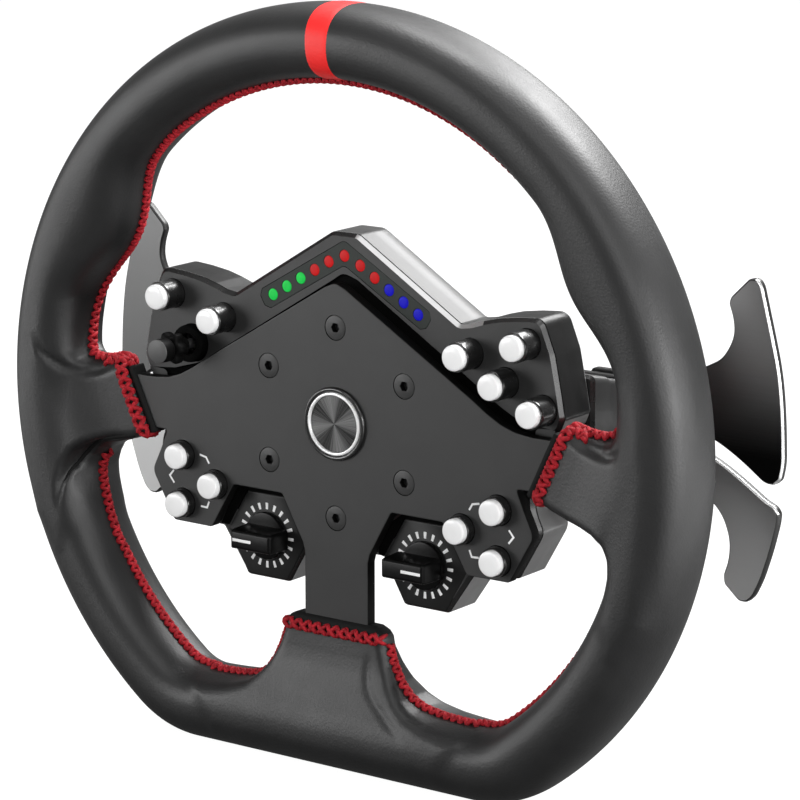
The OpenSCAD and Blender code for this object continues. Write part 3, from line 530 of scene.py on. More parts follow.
def rim_distance(x, y, z):
    ax = np.abs(x)
    top = 0.6 * z + 0.8 * ax > 0
    u = np.where(top, np.hypot(ax, z) - CORE_R,
                 np.where(ax > CORNER[0], np.hypot(ax - CORNER[0], z - CORNER[1]) - BEND_R,
                          BAR_Z - z))
    off_thumb = np.abs(np.degrees(np.arctan2(ax, z)) - THUMB_AT) / THUMB_HALF
    bulge = THUMB_BULGE * np.cos(np.clip(off_thumb, 0.0, 1.0) * math.pi / 2) ** 2
    v = y - RIM_Y
    a = np.where(u < 0, HALF_W + bulge, HALF_W)
    f = ((np.abs(u) / a) ** RIM_POWER + (np.abs(v) / HALF_D) ** RIM_POWER) ** (1 / RIM_POWER)
    return np.hypot(u, v) * (1 - 1 / (f + 1e-9))


def from_mouth(ax, z):
    """How far a point of a side sleeve lies from its mouth."""
    return ax * MOUTH_X - z * MOUTH_Z - MOUTH_AT


def sleeve_slab(y, s):
    """Distance to the space between a sleeve's front and back, s mm from its mouth."""
    near, far = smoothstep(2, 14, s), smoothstep(10, 34, s)
    front = -2.5 - 1.0 * near - 5.5 * far
    back = 7.0 + 2.2 * near + 9.0 * far
    return np.maximum(front - y, y - back)


def crease(px, pz, line, width):
    """How deep a fold is at each point: 1 on the line, 0 away from it and at its ends."""
    best = np.full(px.shape, 1e9)
    along = np.zeros(px.shape)
    n = len(line) - 1
    for i in range(n):
        t, dx, dz = on_segment(px, pz, line[i], line[i + 1])
        d = np.hypot(dx, dz)
        along = np.where(d < best, (i + t) / n, along)
        best = np.minimum(best, d)
    return np.exp(-(best / width) ** 2) * between(along, 0.0, 0.2, 0.75, 1.0)


def grip_distance(p):
    """Distance of points in mm to the leather, negative inside."""
    x, y, z = p[..., 0], p[..., 1], p[..., 2]
    d = rim_distance(x, y, z)
    ax = np.abs(x)
    near = (ax > SLEEVE_FROM_X) & (z < SLEEVE_BELOW) & (z > SLEEVE_ABOVE)
    if near.any():
        qx, qy, qz = ax[near], y[near], z[near]
        front = 1 - smoothstep(-4.5, 7, qy)
        flat = (outline_distance(qx, qz, SIDE_WEB) * (1 - front)
                + outline_distance(qx, qz, SIDE_FRONT) * front)
        sleeve = rounded_both(flat, sleeve_slab(qy, from_mouth(qx, qz)), SLEEVE_ROUND)
        folds = (crease(qx, qz, FOLD_ABOVE, 1.6) * 1.4 * (1 - smoothstep(120, 127, x[near]))
                 + crease(-x[near], qz, FOLD_UNDER, 1.35) * 1.7)
        d[near] = smooth_min(d[near], sleeve, SLEEVE_BLEND) + folds * (1 - smoothstep(-3, 3, qy))
    low = (ax < STEM_WITHIN_X) & (z < STEM_BELOW)
    if low.any():
        qx, qy, qz = ax[low], y[low], z[low]
        sleeve = rounded_both(outline_distance(qx, qz, STEM_WEB),
                              sleeve_slab(qy, STEM_MOUTH_Z - qz), SLEEVE_ROUND)
        fold = crease(x[low], qz, FOLD_STEM, 1.5) * 0.5
        d[low] = smooth_min(d[low], sleeve, SLEEVE_BLEND) + fold * (1 - smoothstep(-2, 3, qy))
    return d


def gradient(p):
    e = 0.05
    return np.stack([(grip_distance(p + step) - grip_distance(p - step)) / (2 * e)
                     for step in np.eye(3) * e], 1)


def surface_nets(values, origin, h):
    """Quads on the zero level of a grid of distances."""
    inside = values < 0
    shape = tuple(s - 1 for s in values.shape)
    corners = [(i, j, k) for i in (0, 1) for j in (0, 1) for k in (0, 1)]
    count = sum(inside[i:i + shape[0], j:j + shape[1], k:k + shape[2]].astype(np.int8)
                for i, j, k in corners)
    active = (count > 0) & (count < 8)
    cells = np.argwhere(active)
    index = np.full(shape, -1, np.int64)
    index[active] = np.arange(len(cells))
    total = np.zeros((len(cells), 3))
    hits = np.zeros(len(cells))
    for a in corners:
        for axis in range(3):
            if a[axis]:
                continue
            along = np.eye(3, dtype=int)[axis]
            fa, fb = (values[tuple((cells + c).T)] for c in (a, a + along))
            crossed = (fa < 0) != (fb < 0)
            t = np.where(crossed, fa / np.where(crossed, fa - fb, 1.0), 0.0)
            total[crossed] += (a + t[:, None] * along)[crossed]
            hits[crossed] += 1
    verts = np.array(origin) + (cells + total / hits[:, None]) * h
    quads = []
    for axis in range(3):
        first, second = np.delete(inside, -1, axis), np.delete(inside, 0, axis)
        u, v = [i for i in range(3) if i != axis]
        for sign in (True, False):
            edge = np.argwhere((first != second) & (first == sign))
            edge = edge[(edge[:, u] > 0) & (edge[:, v] > 0)
                        & (edge[:, u] < shape[u]) & (edge[:, v] < shape[v])]
            ring = []
            for du, dv in ((1, 1), (0, 1), (0, 0), (1, 0)):
                c = edge.copy()
                c[:, u] -= du
                c[:, v] -= dv
                ring.append(index[tuple(c.T)])
            q = np.stack(ring, 1)
            quads.append(q[:, ::-1] if sign == (axis == 1) else q)
    return verts, np.concatenate(quads)


def build_grip():
    h = GRID_STEP
    low = np.array([-h * round(GRID_BEFORE[0] / h), RIM_Y - GRID_BEFORE[1], -GRID_BEFORE[2]])
    axes = [low[k] + h * np.arange(int(size / h) + 2) for k, size in enumerate(GRID_SIZE)]
    values = grip_distance(np.stack(np.meshgrid(*axes, indexing="ij"), -1))
    verts, quads = surface_nets(values, low, h)
    for _ in range(GRID_PULLS):
        g = gradient(verts)
        step = grip_distance(verts)[:, None] * g / np.maximum((g * g).sum(1), 0.05)[:, None]
        verts = verts - np.clip(step, -h, h)
    obj = add_mesh("grip_leather", verts, quads.tolist(), LEATHER)
    obj.data.materials.append(LEATHER_EDGE_AND_SHADE)
    x, _, z = verts[quads].mean(1).T
    ax = np.abs(x)
    # Faces next to the sleeve mouths and under the stem's plate take the near-black edge colour:
    # cut edge and painted shade.
    cut = (from_mouth(ax, z) < 0.8) & (z > -20) & (z < 16)
    cut |= (z > -75.0) & (z < -60) & (ax < 30)
    obj.data.polygons.foreach_set("material_index", cut.astype(np.int32))
    return obj


grip = build_grip()
place(grip, "grip_leather", "rim_grip")

# ---- stitching

SEAM_FRONT = 2.3
# Heights of a stitch's points over the leather, in mm for a thread of the arch's radius, and
# what the thread that crosses on top adds.
ARCH_R, STITCH_ARCH = 0.42, np.array([-0.3, 0.22, 0.42, 0.50, 0.42, 0.22, -0.3])
ON_TOP = 0.16
# Pitch, width and thread radius of the stitches.
MOUTH_STITCH, STEM_STITCH, EDGE_STITCH = (3.7, 4.7, 0.95), (4.2, 4.1, 0.88), (3.1, 3.9, 0.84)
MOUTH_REACH = 34.0
FOLD_R, FOLD_PITCH, FOLD_FROM_Y, FOLD_REACH = 0.9, 1.2, -18.0, 24.0
LEFT = np.array([-1.0, 1.0, 1.0])


def hit(start, direction, reach):
    """First points where rays enter the leather, and which of them do."""
    t = np.linspace(0.0, reach, 90)
    inside = grip_distance(start[:, None] + t[None, :, None] * direction[:, None]) < 0
    first = np.argmax(inside, 1)
    a, b = t[np.maximum(first - 1, 0)], t[first]
    for _ in range(12):
        m = (a + b) / 2
        into = grip_distance(start + m[:, None] * direction) < 0
        a, b = np.where(into, a, m), np.where(into, m, b)
    return start + b[:, None] * direction, inside.any(1)


def seam_y(x, z):
    """Depth of the seam: the middle of the sleeve at its mouth, the middle of the grip beyond."""
    ax = np.abs(x)
    side = np.maximum(smoothstep(96, 114, ax), 1 - smoothstep(-66, -46, z))
    stem = np.where((ax < 60) & (z < -66), smoothstep(-92, -112, z), 1.0)
    thumb = between(np.degrees(np.arctan2(ax, z)), 36, 58, 68, 84)
    under = between(ax, 87, 93, 109, 115) * between(z, -13, -16, -27, -33)
    above = between(ax, 97, 103, 116, 121) * between(z, 2, 6, 16, 22)
    boot = between(z, -77, -81, -98, -112) * (ax < 60)
    return (SEAM_FRONT + (RIM_Y - SEAM_FRONT) * np.minimum(side, stem) + 8.0 * (thumb + under)
            - 3.0 * above - 0.8 * boot)


def window_seam(centre, a0, a1, reach):
    """Seam around a window of the wheel, cast outwards from a point in it."""
    n = 500
    a = np.radians(np.linspace(a0, a1, n))
    d = np.stack([np.cos(a), 0 * a, np.sin(a)], 1)
    y = np.full(n, RIM_Y)
    for _ in range(3):
        start = np.stack([np.full(n, centre[0]), y, np.full(n, centre[1])], 1)
        p, found = hit(start, d, reach)
        y = np.where(found, seam_y(p[:, 0], p[:, 2]), y)
    return p[found & ((np.abs(p[:, 0]) > 30) | (np.abs(p[:, 2] + 20) > 58.5))]


def mouth_seam(centre, along):
    """Closed seam around the mouth of a sleeve."""
    a = np.radians(np.linspace(0, 360, 161))
    d = np.stack([along[0] * np.cos(a), np.sin(a), along[1] * np.cos(a)], 1)
    p, found = hit(np.array(centre) + d * MOUTH_REACH, -d, MOUTH_REACH)
    return p[found]


def resample(path, pitch):
    seg = np.linalg.norm(np.diff(path, axis=0), axis=1)
    s = np.concatenate([[0], np.cumsum(seg)])
    n = max(2, int(round(s[-1] / pitch)))
    t = np.linspace(0, s[-1], n + 1)
    return np.stack([np.interp(t, s, path[:, k]) for k in range(3)], 1)


def unit(v):
    return v / np.linalg.norm(v, axis=-1)[..., None]


def tubes(runs, radius, sides=6):
    """Verts and faces of many closed tubes; runs is tubes x points x 3."""
    count, n, _ = runs.shape
    t = unit(np.gradient(runs, axis=1))
    side = unit(np.cross(t, np.array([0.31, 0.22, 0.93])))
    up = np.cross(t, side)
    r = np.full(n, radius)
    r[[0, -1]] *= 0.55
    a = 2 * np.pi * np.arange(sides) / sides
    ring = side[:, :, None] * np.cos(a)[:, None] + up[:, :, None] * np.sin(a)[:, None]
    verts = runs[:, :, None] + ring * r[:, None, None]
    one = walls(n, sides) + caps(n, sides)
    faces = [tuple(c * n * sides + v for v in f) for c in range(count) for f in one]
    return verts.reshape(-1, 3), faces


def sew(paths, pitch, width, radius):
    """Crossed thread stitches along each path."""
    runs = []
    for path in paths:
        pts = resample(path, pitch)
        normal = unit(gradient(pts))
        across = np.cross(normal, unit(np.gradient(pts, axis=0)))
        for s in SIDES:
            a = pts[:-1] + across[:-1] * s * width / 2
            b = pts[1:] - across[1:] * s * width / 2
            lifts = STITCH_ARCH * radius / ARCH_R + (ON_TOP if s > 0 else 0.0)
            run = a[:, None] + (b - a)[:, None] * np.linspace(0, 1, 7)[None, :, None]
            runs.append(run + normal[:-1, None] * (lifts - grip_distance(run))[..., None])
    return tubes(np.concatenate(runs), radius)


def build_stitches():
    mouth = mouth_seam((94.4, SEAM_FRONT, -2.0), (0.422, 0.907))
    stem = mouth_seam((0.0, SEAM_FRONT, -76.6), (1.0, 0.0))
    upper = window_seam((0.0, 32.0), -14.0, 194.0, 150.0)
    lower = window_seam((74.0, -58.0), 72.0, -198.0, 90.0)
    hidden = (lower[:, 0] > 93.5) & (lower[:, 0] < 112.8) & (lower[:, 2] > -28.5)
    cuts = np.flatnonzero(np.diff(hidden.astype(int))) + 1
    shown = [p for p, h in zip(np.split(lower, cuts), np.split(hidden, cuts)) if not h[0]]
    verts, faces = [], []
    for v, f in (sew([mouth, mouth * LEFT], *MOUTH_STITCH),
                 sew([stem[stem[:, 1] < 0.5]], *STEM_STITCH),
                 sew([upper] + shown + [p * LEFT for p in shown], *EDGE_STITCH)):
        faces += [tuple(len(verts) + j for j in q) for q in f]
        verts += v.tolist()
    return add_mesh("grip_stitches", verts, faces, THREAD)


place(build_stitches(), "grip_leather")


def build_fold_shadow():
    """A black tube laid along the fold under the left sleeve: a painted shadow line."""
    flat = resample(np.array([(-x, 0.0, z) for x, z in FOLD_UNDER]), FOLD_PITCH)
    soft = np.ones(5) / 5
    flat = np.stack([np.convolve(np.pad(flat[:, k], 2, mode="edge"), soft, "valid")
                     for k in range(3)], 1)
    flat[:, 1] = FOLD_FROM_Y
    p, found = hit(flat, np.tile([0.0, 1.0, 0.0], (len(flat), 1)), FOLD_REACH)
    p = p[found]
    s = np.linspace(0.0, 1.0, len(p))
    p[:, 1] += 0.25 + 0.6 * (1 - smoothstep(0.0, 0.15, s)) + 1.0 * smoothstep(0.5, 0.9, s)
    return add_mesh("sleeve_fold_painted_shadow", *tubes(p[None], FOLD_R, 12), LEATHER_EDGE_AND_SHADE)


place(build_fold_shadow(), "grip_leather")

# ---- twelve o'clock marker

MARKER_HALF, MARKER_PROUD, MARKER_SUNK = 5.3, 0.19, 0.12


def build_marker():
    """A band around the rim at twelve o'clock, a little proud of the leather."""
    around, rows, power = 72, 15, 2 / RIM_POWER
    verts = []
    for j in range(rows):
        s = -1 + 2 * j / (rows - 1)
        edge = abs(s) ** 6
        grow = MARKER_PROUD * (1 - edge) - MARKER_SUNK * edge
        turn = (math.asin(s) / (math.pi / 2) * 0.25 + s * 0.75) * MARKER_HALF / CORE_R
        for i in range(around):
            t = 2 * math.pi * i / around
            c, d = math.cos(t), math.sin(t)
            r = CORE_R + (HALF_W + grow) * math.copysign(abs(c) ** power, c)
            v = (HALF_D + grow) * math.copysign(abs(d) ** power, d)
            verts.append((r * math.sin(turn), RIM_Y + v, r * math.cos(turn)))
    return add_mesh("marker_band", verts, walls(rows, around, flipped=True), MARKER)


place(build_marker(), "marker_leather", "centre_marker")

# ---- outlines and shells


def arc(centre, r, n):
    """Points of a circle; also the corners of a regular polygon."""
    t = np.radians(np.linspace(0.0, 360.0, n, endpoint=False))
    return [(centre[0] + r * math.cos(a), centre[1] + r * math.sin(a)) for a in t]


def rounded(points, radii):
    """Rounds the corners of a closed outline."""
    steps = 6
    pts = [Vector(p) for p in points]
    out = []
    for i, (p, r) in enumerate(zip(pts, radii)):
        a, b = pts[i - 1] - p, pts[(i + 1) % len(pts)] - p
        la, lb = a.length, b.length
        straight = True
        if r > 0 and la > 1e-6 and lb > 1e-6:
            a.normalize()
            b.normalize()
            half = math.acos(max(-1.0, min(1.0, a.dot(b)))) / 2
            straight = half > math.radians(89.0)
        if straight:
            out.append(tuple(p))
            continue
        t = min(r / math.tan(half), 0.48 * la, 0.48 * lb)
        start, end = p + a * t, p + b * t
        for k in range(steps + 1):
            s = k / steps
            out.append(tuple(start * (1 - s) ** 2 + p * 2 * s * (1 - s) + end * s * s))
    return out


class Outline:
    """A closed outline with rounded corners that can be offset into itself."""

    def __init__(self, points, radii):
        n = len(points)
        radii = list(radii) if isinstance(radii, (list, tuple)) else [radii] * n
        turn = sum(points[i - 1][0] * points[i][1] - points[i][0] * points[i - 1][1]
                   for i in range(n))
        if turn < 0:
            points, radii = points[::-1], radii[::-1]
        self.points, self.radii = [Vector(p) for p in points], radii

    def at(self, d):
        pts, radii, n = [], [], len(self.points)
        for i, p in enumerate(self.points):
            a = (p - self.points[i - 1]).normalized()
            b = (self.points[(i + 1) % n] - p).normalized()
            na, nb = Vector((-a.y, a.x)), Vector((-b.y, b.x))
            pts.append(tuple(p + (na + nb) * (d / max(1 + na.dot(nb), 0.25))))
            convex = a.x * b.y - a.y * b.x > 0
            radii.append(max(self.radii[i] + (-d if convex else d), 0.2))
        return rounded(pts, radii)


class Circle:
    def __init__(self, centre, r, n=36):
        self.centre, self.r, self.n = centre, r, n

    def at(self, d):
        return arc(self.centre, self.r - d, self.n)


def hexagon(centre, apothem, r):
    return Outline(arc(centre, apothem / math.cos(math.radians(30)), 6), r)


def eased(y0, y1, r):
    """The path of a flat plate with rounded edges on its front and back."""
    return [(y0, r), (y0 + 0.29 * r, 0.29 * r), (y0 + r, 0), (y1 - r, 0),
            (y1 - 0.29 * r, 0.29 * r), (y1, r)]


def shell(name, outer, path, material, holes=(), hole_path=None, sharp=32, side=None,
          bevelled=None, bore=None):
    """A piece between two outlines: each ring of the path is a (depth, inset) pair.

    side is the material of its upright walls, bevelled that of its chamfers, and bore that
    of the walls and chamfers of its holes.
    """
    mats, verts, faces, index = [material], [], [], []
    for m in (bore, side, bevelled):
        if m and m not in mats:
            mats.append(m)
    ends = [[], []]
    hole_path = hole_path or [(path[0][0], 0), (path[-1][0], 0)]
    for outline, rings, sign in [(outer, path, 1)] + [(h, hole_path, -1) for h in holes]:
        first = len(verts)
        for y, inset in rings:
            ring = outline.at(inset * sign)
            verts += [(x, y, z) for x, z in ring]
        n = len(ring)
        for j, ((y0, d0), (y1, d1)) in enumerate(zip(rings, rings[1:])):
            m = side if abs(y1 - y0) > 2.2 * abs(d1 - d0) else bevelled
            if sign < 0 and bore:
                m = bore
            faces += walls(2, n, first + j * n)
            index += [mats.index(m or material)] * n
        ends[0].append(range(first, first + n))
        ends[1].append(range(len(verts) - n, len(verts)))
    for loops in ends:
        flat = [i for loop in loops for i in loop]
        tris = tessellate_polygon([[Vector((verts[i][0], verts[i][2], 0)) for i in loop]
                                   for loop in loops])
        faces += [tuple(flat[i] for i in tri) for tri in tris]
        index += [0] * len(tris)
    obj = add_mesh(name, verts, faces, material)
    for m in mats[1:]:
        obj.data.materials.append(m)
    obj.data.polygons.foreach_set("material_index", index)
    weld(obj)
    shade(obj, sharp, flat_caps=True)
    return obj


def prism(name, outline, z0, z1, bevel, material):
    """A piece drawn in x and y that runs along z."""
    rings = [(z0, bevel), (z0 + bevel, 0), (z1 - bevel, 0), (z1, bevel)]
    verts = [(x, y, z) for z, inset in rings for x, y in outline.at(inset)]
    n = len(verts) // len(rings)
    obj = add_mesh(name, verts, walls(4, n) + caps(4, n), material)
    weld(obj)
    return obj


# ---- face plate

BOLT_CIRCLE = 35
BOLTS = [(BOLT_CIRCLE * math.sin(math.radians(60 * i)),
          BOLT_CIRCLE * math.cos(math.radians(60 * i))) for i in range(6)]
LOWER = [(71, -21.3), (71, -39.6), (55.5, -30.4)]
UPPER = [(79.1, 37.9), (55.1, 31.6)]
UPPER_RIGHT = [(70.1, 23.1), (86, 15.3)]
LOW_BUTTONS = LOWER + [flip(p) for p in LOWER]
UPPER_BUTTONS = UPPER + [flip(p) for p in UPPER] + UPPER_RIGHT
DIAL, TICKS = (35.8, -47.9), 20
STICK = (-70, 20.3)
PLATE_HALF = [(0.9, 50.9), (4.6, 49.3), (59.5, 16.5), (66, 12.3), (72, 9.1), (78, 7.2),
              (85, 6.5), (131, 6.4), (131, -12.8), (78.4, -12.8), (82, -21), (85.9, -29),
              (75.6, -46.9), (57.6, -47), (47.2, -29.3), (24.6, -29.3), (20, -37.5),
              (15.2, -46.2), (14.3, -49.5), (14.3, -110)]
PLATE_R = [4, 5, 30, 12, 14, 14, 10, 0.3, 0.3, 1.2, 14, 5, 1.6, 2.2, 1.6, 1.6, 8, 1.8, 1.8, 0.3]

plate_holes = [Circle(p, 5.55) for p in LOW_BUTTONS] + [Circle(p, 4.6, 40) for p in BOLTS]
place(shell("plate", Outline(both(PLATE_HALF), PLATE_R + PLATE_R[::-1]), eased(0, 4.5, 0.4),
            PLATE, plate_holes + [Circle(AXIS, 12.7, 56)], eased(0, 4.5, 0.12),
            side=PLATE_EDGE, bore=PLATE_EDGE), "plate", "face_plate")

bolts = []
for p in BOLTS:
    bolts += [shell("b", Circle(p, 4.5, 40), [(0.05, 0.3), (0.12, 0.08), (0.3, 0), (2.6, 0)],
                    PLATE, [hexagon(p, 1.45, 0.1)], [(0.05, 0.2), (0.3, 0), (2.6, 0)],
                    bore=SHADE_BLACK),
              shell("b", Circle(p, 3.0, 20), [(2.0, 0), (2.3, 0)], SATIN),
              shell("b", Circle(p, 2.45, 20), [(2.6, 0), (9.0, 0)], STEEL)]
place(join("plate_bolt_heads", bolts), "bolt_black", "plate_bolts")

# ---- badge

for name, slot, node, material, profile in (
        ("badge_cup_gloss", "badge_black", "badge_cup", GLOSS,
         [(11.65, 0.9), (11.65, -0.9), (12, -1.25), (12.6, -1.45), (13.1, -1.3), (13.45, -0.8),
          (13.5, -0.05), (12.5, -0.05), (12.5, 0.9)]),
        ("badge_ring_painted_reflection", "badge_ring", "badge_ring", BRIGHT_PAINTED_REFLECTION,
         [(10.5, 0), (10.5, -1.3), (10.65, -1.55), (11, -1.65), (11.4, -1.5), (11.6, -1.1),
          (11.6, 0)]),
        ("badge_brushed_disc", "badge_disc", "badge_disc", DISC,
         [(10.4, 0), (10.4, -0.7), (10.25, -0.85), (0.6, -0.85)])):
    place(lathe(name, AXIS, profile, material, 72), slot, node)

# ---- case

CASE_HALF = [(5.6, 68.6), (50.2, 41.2), (55, 41.9), (60, 43.6), (66, 45.2), (74, 46.4),
             (84.6, 47.3), (89.6, 35), (92.4, 21.5), (94, 12.9), (91.8, 7.6), (84, 7.2),
             (82, -13), (82, -21), (85.8, -29), (75.5, -46.9), (57, -47.5), (45.4, -64.4),
             (26.2, -64.4), (16.6, -47.9)]
CASE_R = [6, 3, 8, 10, 10, 10, 5, 12, 20, 4, 3, 1, 1, 14, 5, 1.8, 1.5, 1.8, 1.8, 1.5]
WELL_HALF = [(1.2, 53.5), (5.6, 52.2), (60.6, 18.6), (67.2, 14.4), (73, 11.4), (79, 9.6),
             (90.9, 8.6), (80, -10), (60, -40)]
WELL_R = [5, 6, 30, 12, 14, 14, 0.3, 0.3, 0.3]
POCKET = [(57.5, -46.6), (47.9, -28), (23.9, -28), (15.5, -43.5), (15.2, -47), (17.6, -47.6),
          (26.7, -31.9), (44.9, -31.9), (53.6, -46.4)]
CASE_SCREWS = [(66, 34.5), (33, 34), (78.5, -30.4), (35.8, -59)]
ROOF = math.radians(30.2)
PEAK_X, POD_X, POD_Z, ROOF_X = 5.0, 60.0, 2.0, 62.0
LIGHT_FROM, LIGHT_PITCH, MIDDLE_LIGHT = (7, 57.4), 7.35, (0, 60.2)


def down_roof(run, out=0.0):
    """A point run mm down the right arm of the row of lights and out mm above it."""
    return (LIGHT_FROM[0] + run * math.cos(ROOF) + out * math.sin(ROOF),
            LIGHT_FROM[1] - run * math.sin(ROOF) + out * math.cos(ROOF))


def band_outline(w, end, r):
    """The bent window over the lights, w wide, its tips end mm past the last light."""
    peak = LIGHT_FROM[1] + LIGHT_FROM[0] * math.tan(ROOF)
    h, tip, cut = w / 2, 4 * LIGHT_PITCH + end, 2
    half = [(0.8, peak + h / math.cos(ROOF) - 0.6), down_roof(tip - cut, h),
            down_roof(tip, h - cut), down_roof(tip, cut - h), down_roof(tip - cut, -h),
            (0.8, peak - h / math.cos(ROOF) - 0.6)]
    return Outline(both(half), [14, r, r, r, r, 5, 5, r, r, r, r, 14])


def paint_case_light(obj):
    """Paints light and shade into the case's walls: one plastic gets lit and shaded copies by the
    lamps and neighbours each wall faces.
    """
    mesh = obj.data
    tones = [CASE_TOP_LIT, CASE_SIDE_SHADED, CHAMFER_LIT, CASE]
    first = len(mesh.materials)
    for m in tones:
        mesh.materials.append(m)
    for f in mesh.polygons:
        c, n, m = f.center / MM, f.normal, mesh.materials[f.material_index]
        wall = abs(n.y) < 0.3 and m == CASE_SIDE_LIT
        tone = None
        # Upper pod walls get painted shade, the roof's top painted light, the right arm's upward
        # chamfers a painted highlight, faces turned to the back the plain case colour.
        if wall and abs(c.x) > POD_X and c.z > POD_Z and n.z > -0.3:
            tone = CASE_SIDE_SHADED
        elif wall and n.z > 0.5 and abs(c.x) < ROOF_X:
            tone = CASE_TOP_LIT
        elif m == CHAMFER and n.z > 0.3 and PEAK_X < c.x < POD_X:
            tone = CHAMFER_LIT
        elif n.y > 0.7 and m == CASE_SIDE_LIT:
            tone = CASE
        if tone:
            f.material_index = first + tones.index(tone)


case_outline = Outline(both(CASE_HALF), CASE_R + CASE_R[::-1])
well_left = [flip((x - 0.7, z - 1.2)) if 3 < x < 70 and z > 12 else flip((x, z))
             for x, z in reversed(WELL_HALF)]
well = Outline(WELL_HALF + well_left, WELL_R + WELL_R[::-1])
window_band = band_outline(7.8, 5.4, 0.8)
case_front = join("case_front", [
    shell("c", case_outline, [(5.5, 1.4), (6.72, 0.1), (6.8, 0.45), (7.2, 0.45), (7.25, 0),
                              (14, 0), (14, 2.4), (8.6, 2.4)], CASE,
          [well, window_band] + [Circle(p, 5.46) for p in UPPER_BUTTONS] + [Circle(STICK, 7.1)],
          [(5.5, 0.12), (5.62, 0), (8.6, 0)], side=CASE_SIDE_LIT, bevelled=CHAMFER, bore=SHADE_BLACK),
    # Thin black sheets in the well under the plate and in the pockets by the dials: painted shade.
    shell("w", well, [(6.6, -0.6), (7.2, -0.6)], SHADE_BLACK)] + [
    shell("w", Outline(on_side(POCKET, s), 0.3), [(5.32, 0), (5.6, 0)], SHADE_BLACK) for s in SIDES])
paint_case_light(case_front)
place(case_front, "case", "front_shell")
case_rear = shell("case_rear", case_outline,
                  [(24, 1.8), (23.5, 0.6), (22.4, 0), (14, 0), (14, 2.4), (21.6, 2.4)],
                  CASE_SIDE_LIT, [Circle(AXIS, 25.3, 64)]
                  + [Circle((s * x, z), 2.95, 24) for x, z in CASE_SCREWS for s in SIDES],
                  [(24, 0.3), (23.7, 0), (21.6, 0)])
paint_case_light(case_rear)
place(case_rear, "case", "rear_shell")

# ---- shift lights

right_lights = [down_roof(LIGHT_PITCH * k) for k in range(5)]
lights = [flip(p) for p in right_lights[::-1]] + [MIDDLE_LIGHT] + right_lights
place(shell("light_band", window_band, [(5.52, 0.12), (5.6, 0.04), (6.9, 0.04)], WINDOW,
            [Circle(p, 2.2, 32) for p in lights], [(5.52, 0.1), (5.6, 0), (6.9, 0)]),
      "window", "light_window")
LENS = [(2.14, 9.6), (2.14, 5.72), (2.05, 5.6), (1.9, 5.55), (0.4, 5.52)]
dots = [lathe("d", p, LENS, m, 32)
        for p, m in zip(lights, [GREEN] * 3 + [RED] * 5 + [BLUE] * 3)]
place(join("shift_light_dots", dots), "lights", "shift_lights")

# ---- buttons

BARREL = [(4.72, 9.6), (4.72, -3.35), (4.85, -3.55), (5.2, -3.55), (5.38, -3.3), (5.4, -2.6),
          (5.4, 9.6), (4.72, 9.6)]
CAP = [(4.6, 10), (4.6, -5.15), (4.5, -5.5), (4.25, -5.75), (3.8, -5.88), (2, -5.97), (0.3, -6)]
barrels = [lathe("b", p, BARREL, GLOSS, 40) for p in UPPER_BUTTONS + LOW_BUTTONS]
place(join("button_tubes", barrels), "barrel_black", "button_barrels")
CAPS = {"top_left_outer": flip(UPPER[0]), "top_left_inner": flip(UPPER[1]),
        "top_right_outer": UPPER[0], "top_right_inner": UPPER[1],
        "mid_right_inner": UPPER_RIGHT[0], "mid_right_outer": UPPER_RIGHT[1],
        "low_left_upper": flip(LOWER[0]), "low_left_lower": flip(LOWER[1]),
        "low_left_inner": flip(LOWER[2]), "low_right_upper": LOWER[0],
        "low_right_lower": LOWER[1], "low_right_inner": LOWER[2]}
for spot, p in CAPS.items():
    node = "cap_" + spot
    place(lathe(node + "_dome", p, CAP, WHITE, 44), "cap_white", node, body=node)

# ---- thumb stick

LOBE_DEPTH = 0.15
STICK_CUP = [(6.1, 12.5), (6.1, 3.2), (3.9, 3.2), (3.9, 2.6), (4.2, 1.9), (4.9, 1.65),
             (6.3, 1.68), (6.8, 2), (7, 2.7), (7, 12.5), (6.1, 12.5)]
# The stick's cup is coloured as painted shade.
place(lathe("stick_cup_painted_shade", STICK, STICK_CUP, SHADE_BLACK), "stick_black", "stick_base")


def lobes(r, a):
    """Six lobes round the knob's grip."""
    return r * (1.0 + LOBE_DEPTH * math.cos(6 * a))


knob = [lathe("k", STICK, [(3.3, -0.6), (3.6, -0.9), (3.4, -3.4), (3.3, -4.6)], STICK_BLACK),
        lathe("k", STICK, [(3.2, -3.9), (4.6, -4.1), (5.2, -4.6), (5.45, -5.4), (5.45, -7.9),
                           (5.2, -8.6), (4.6, -9), (3.2, -9.1)], STICK_BLACK, 72, 50, lobes),
        lathe("k", STICK, [(3.4, -8.6), (3.5, -9.4), (4.1, -9.9), (4.42, -10.6),
                           (4.46, -14.6), (4.4, -15)], STICK_BLACK, 64),
        lathe("k", STICK, [(4.4, -14.9), (4.42, -15.05), (4.3, -15.25), (4, -15.36),
                           (0.4, -15.42)], STICK_FACE)]
place(join("thumb_knob", knob), "stick_black", "stick_knob", body="stick_knob")

# ---- dials

scales = []
for s in SIDES:
    c = flip(DIAL) if s < 0 else DIAL
    scales.append(shell("d", hexagon(c, 15.85, 1.1), [(5.3, 0.6), (5.55, 0.12), (5.8, 0),
                                                      (6.7, 0)], DIAL_FACE,
                        [Circle(c, 4.3, 30)], [(5.3, 0.15), (5.45, 0), (6.7, 0)]))
    for k in range(TICKS):
        a = 2 * math.pi * k / TICKS
        tick = [(c[0] + r * math.cos(a) - w * math.sin(a), c[1] + r * math.sin(a) + w * math.cos(a))
                for r, w in ((9.8, -0.5), (12.3, -0.64), (12.3, 0.64), (9.8, 0.5))]
        scales.append(shell("d", Outline(tick, 0.2), [(5.24, 0.06), (5.28, 0), (5.5, 0)], INK))
place(join("dial_scales", scales), "dial_face", "dial_plates")


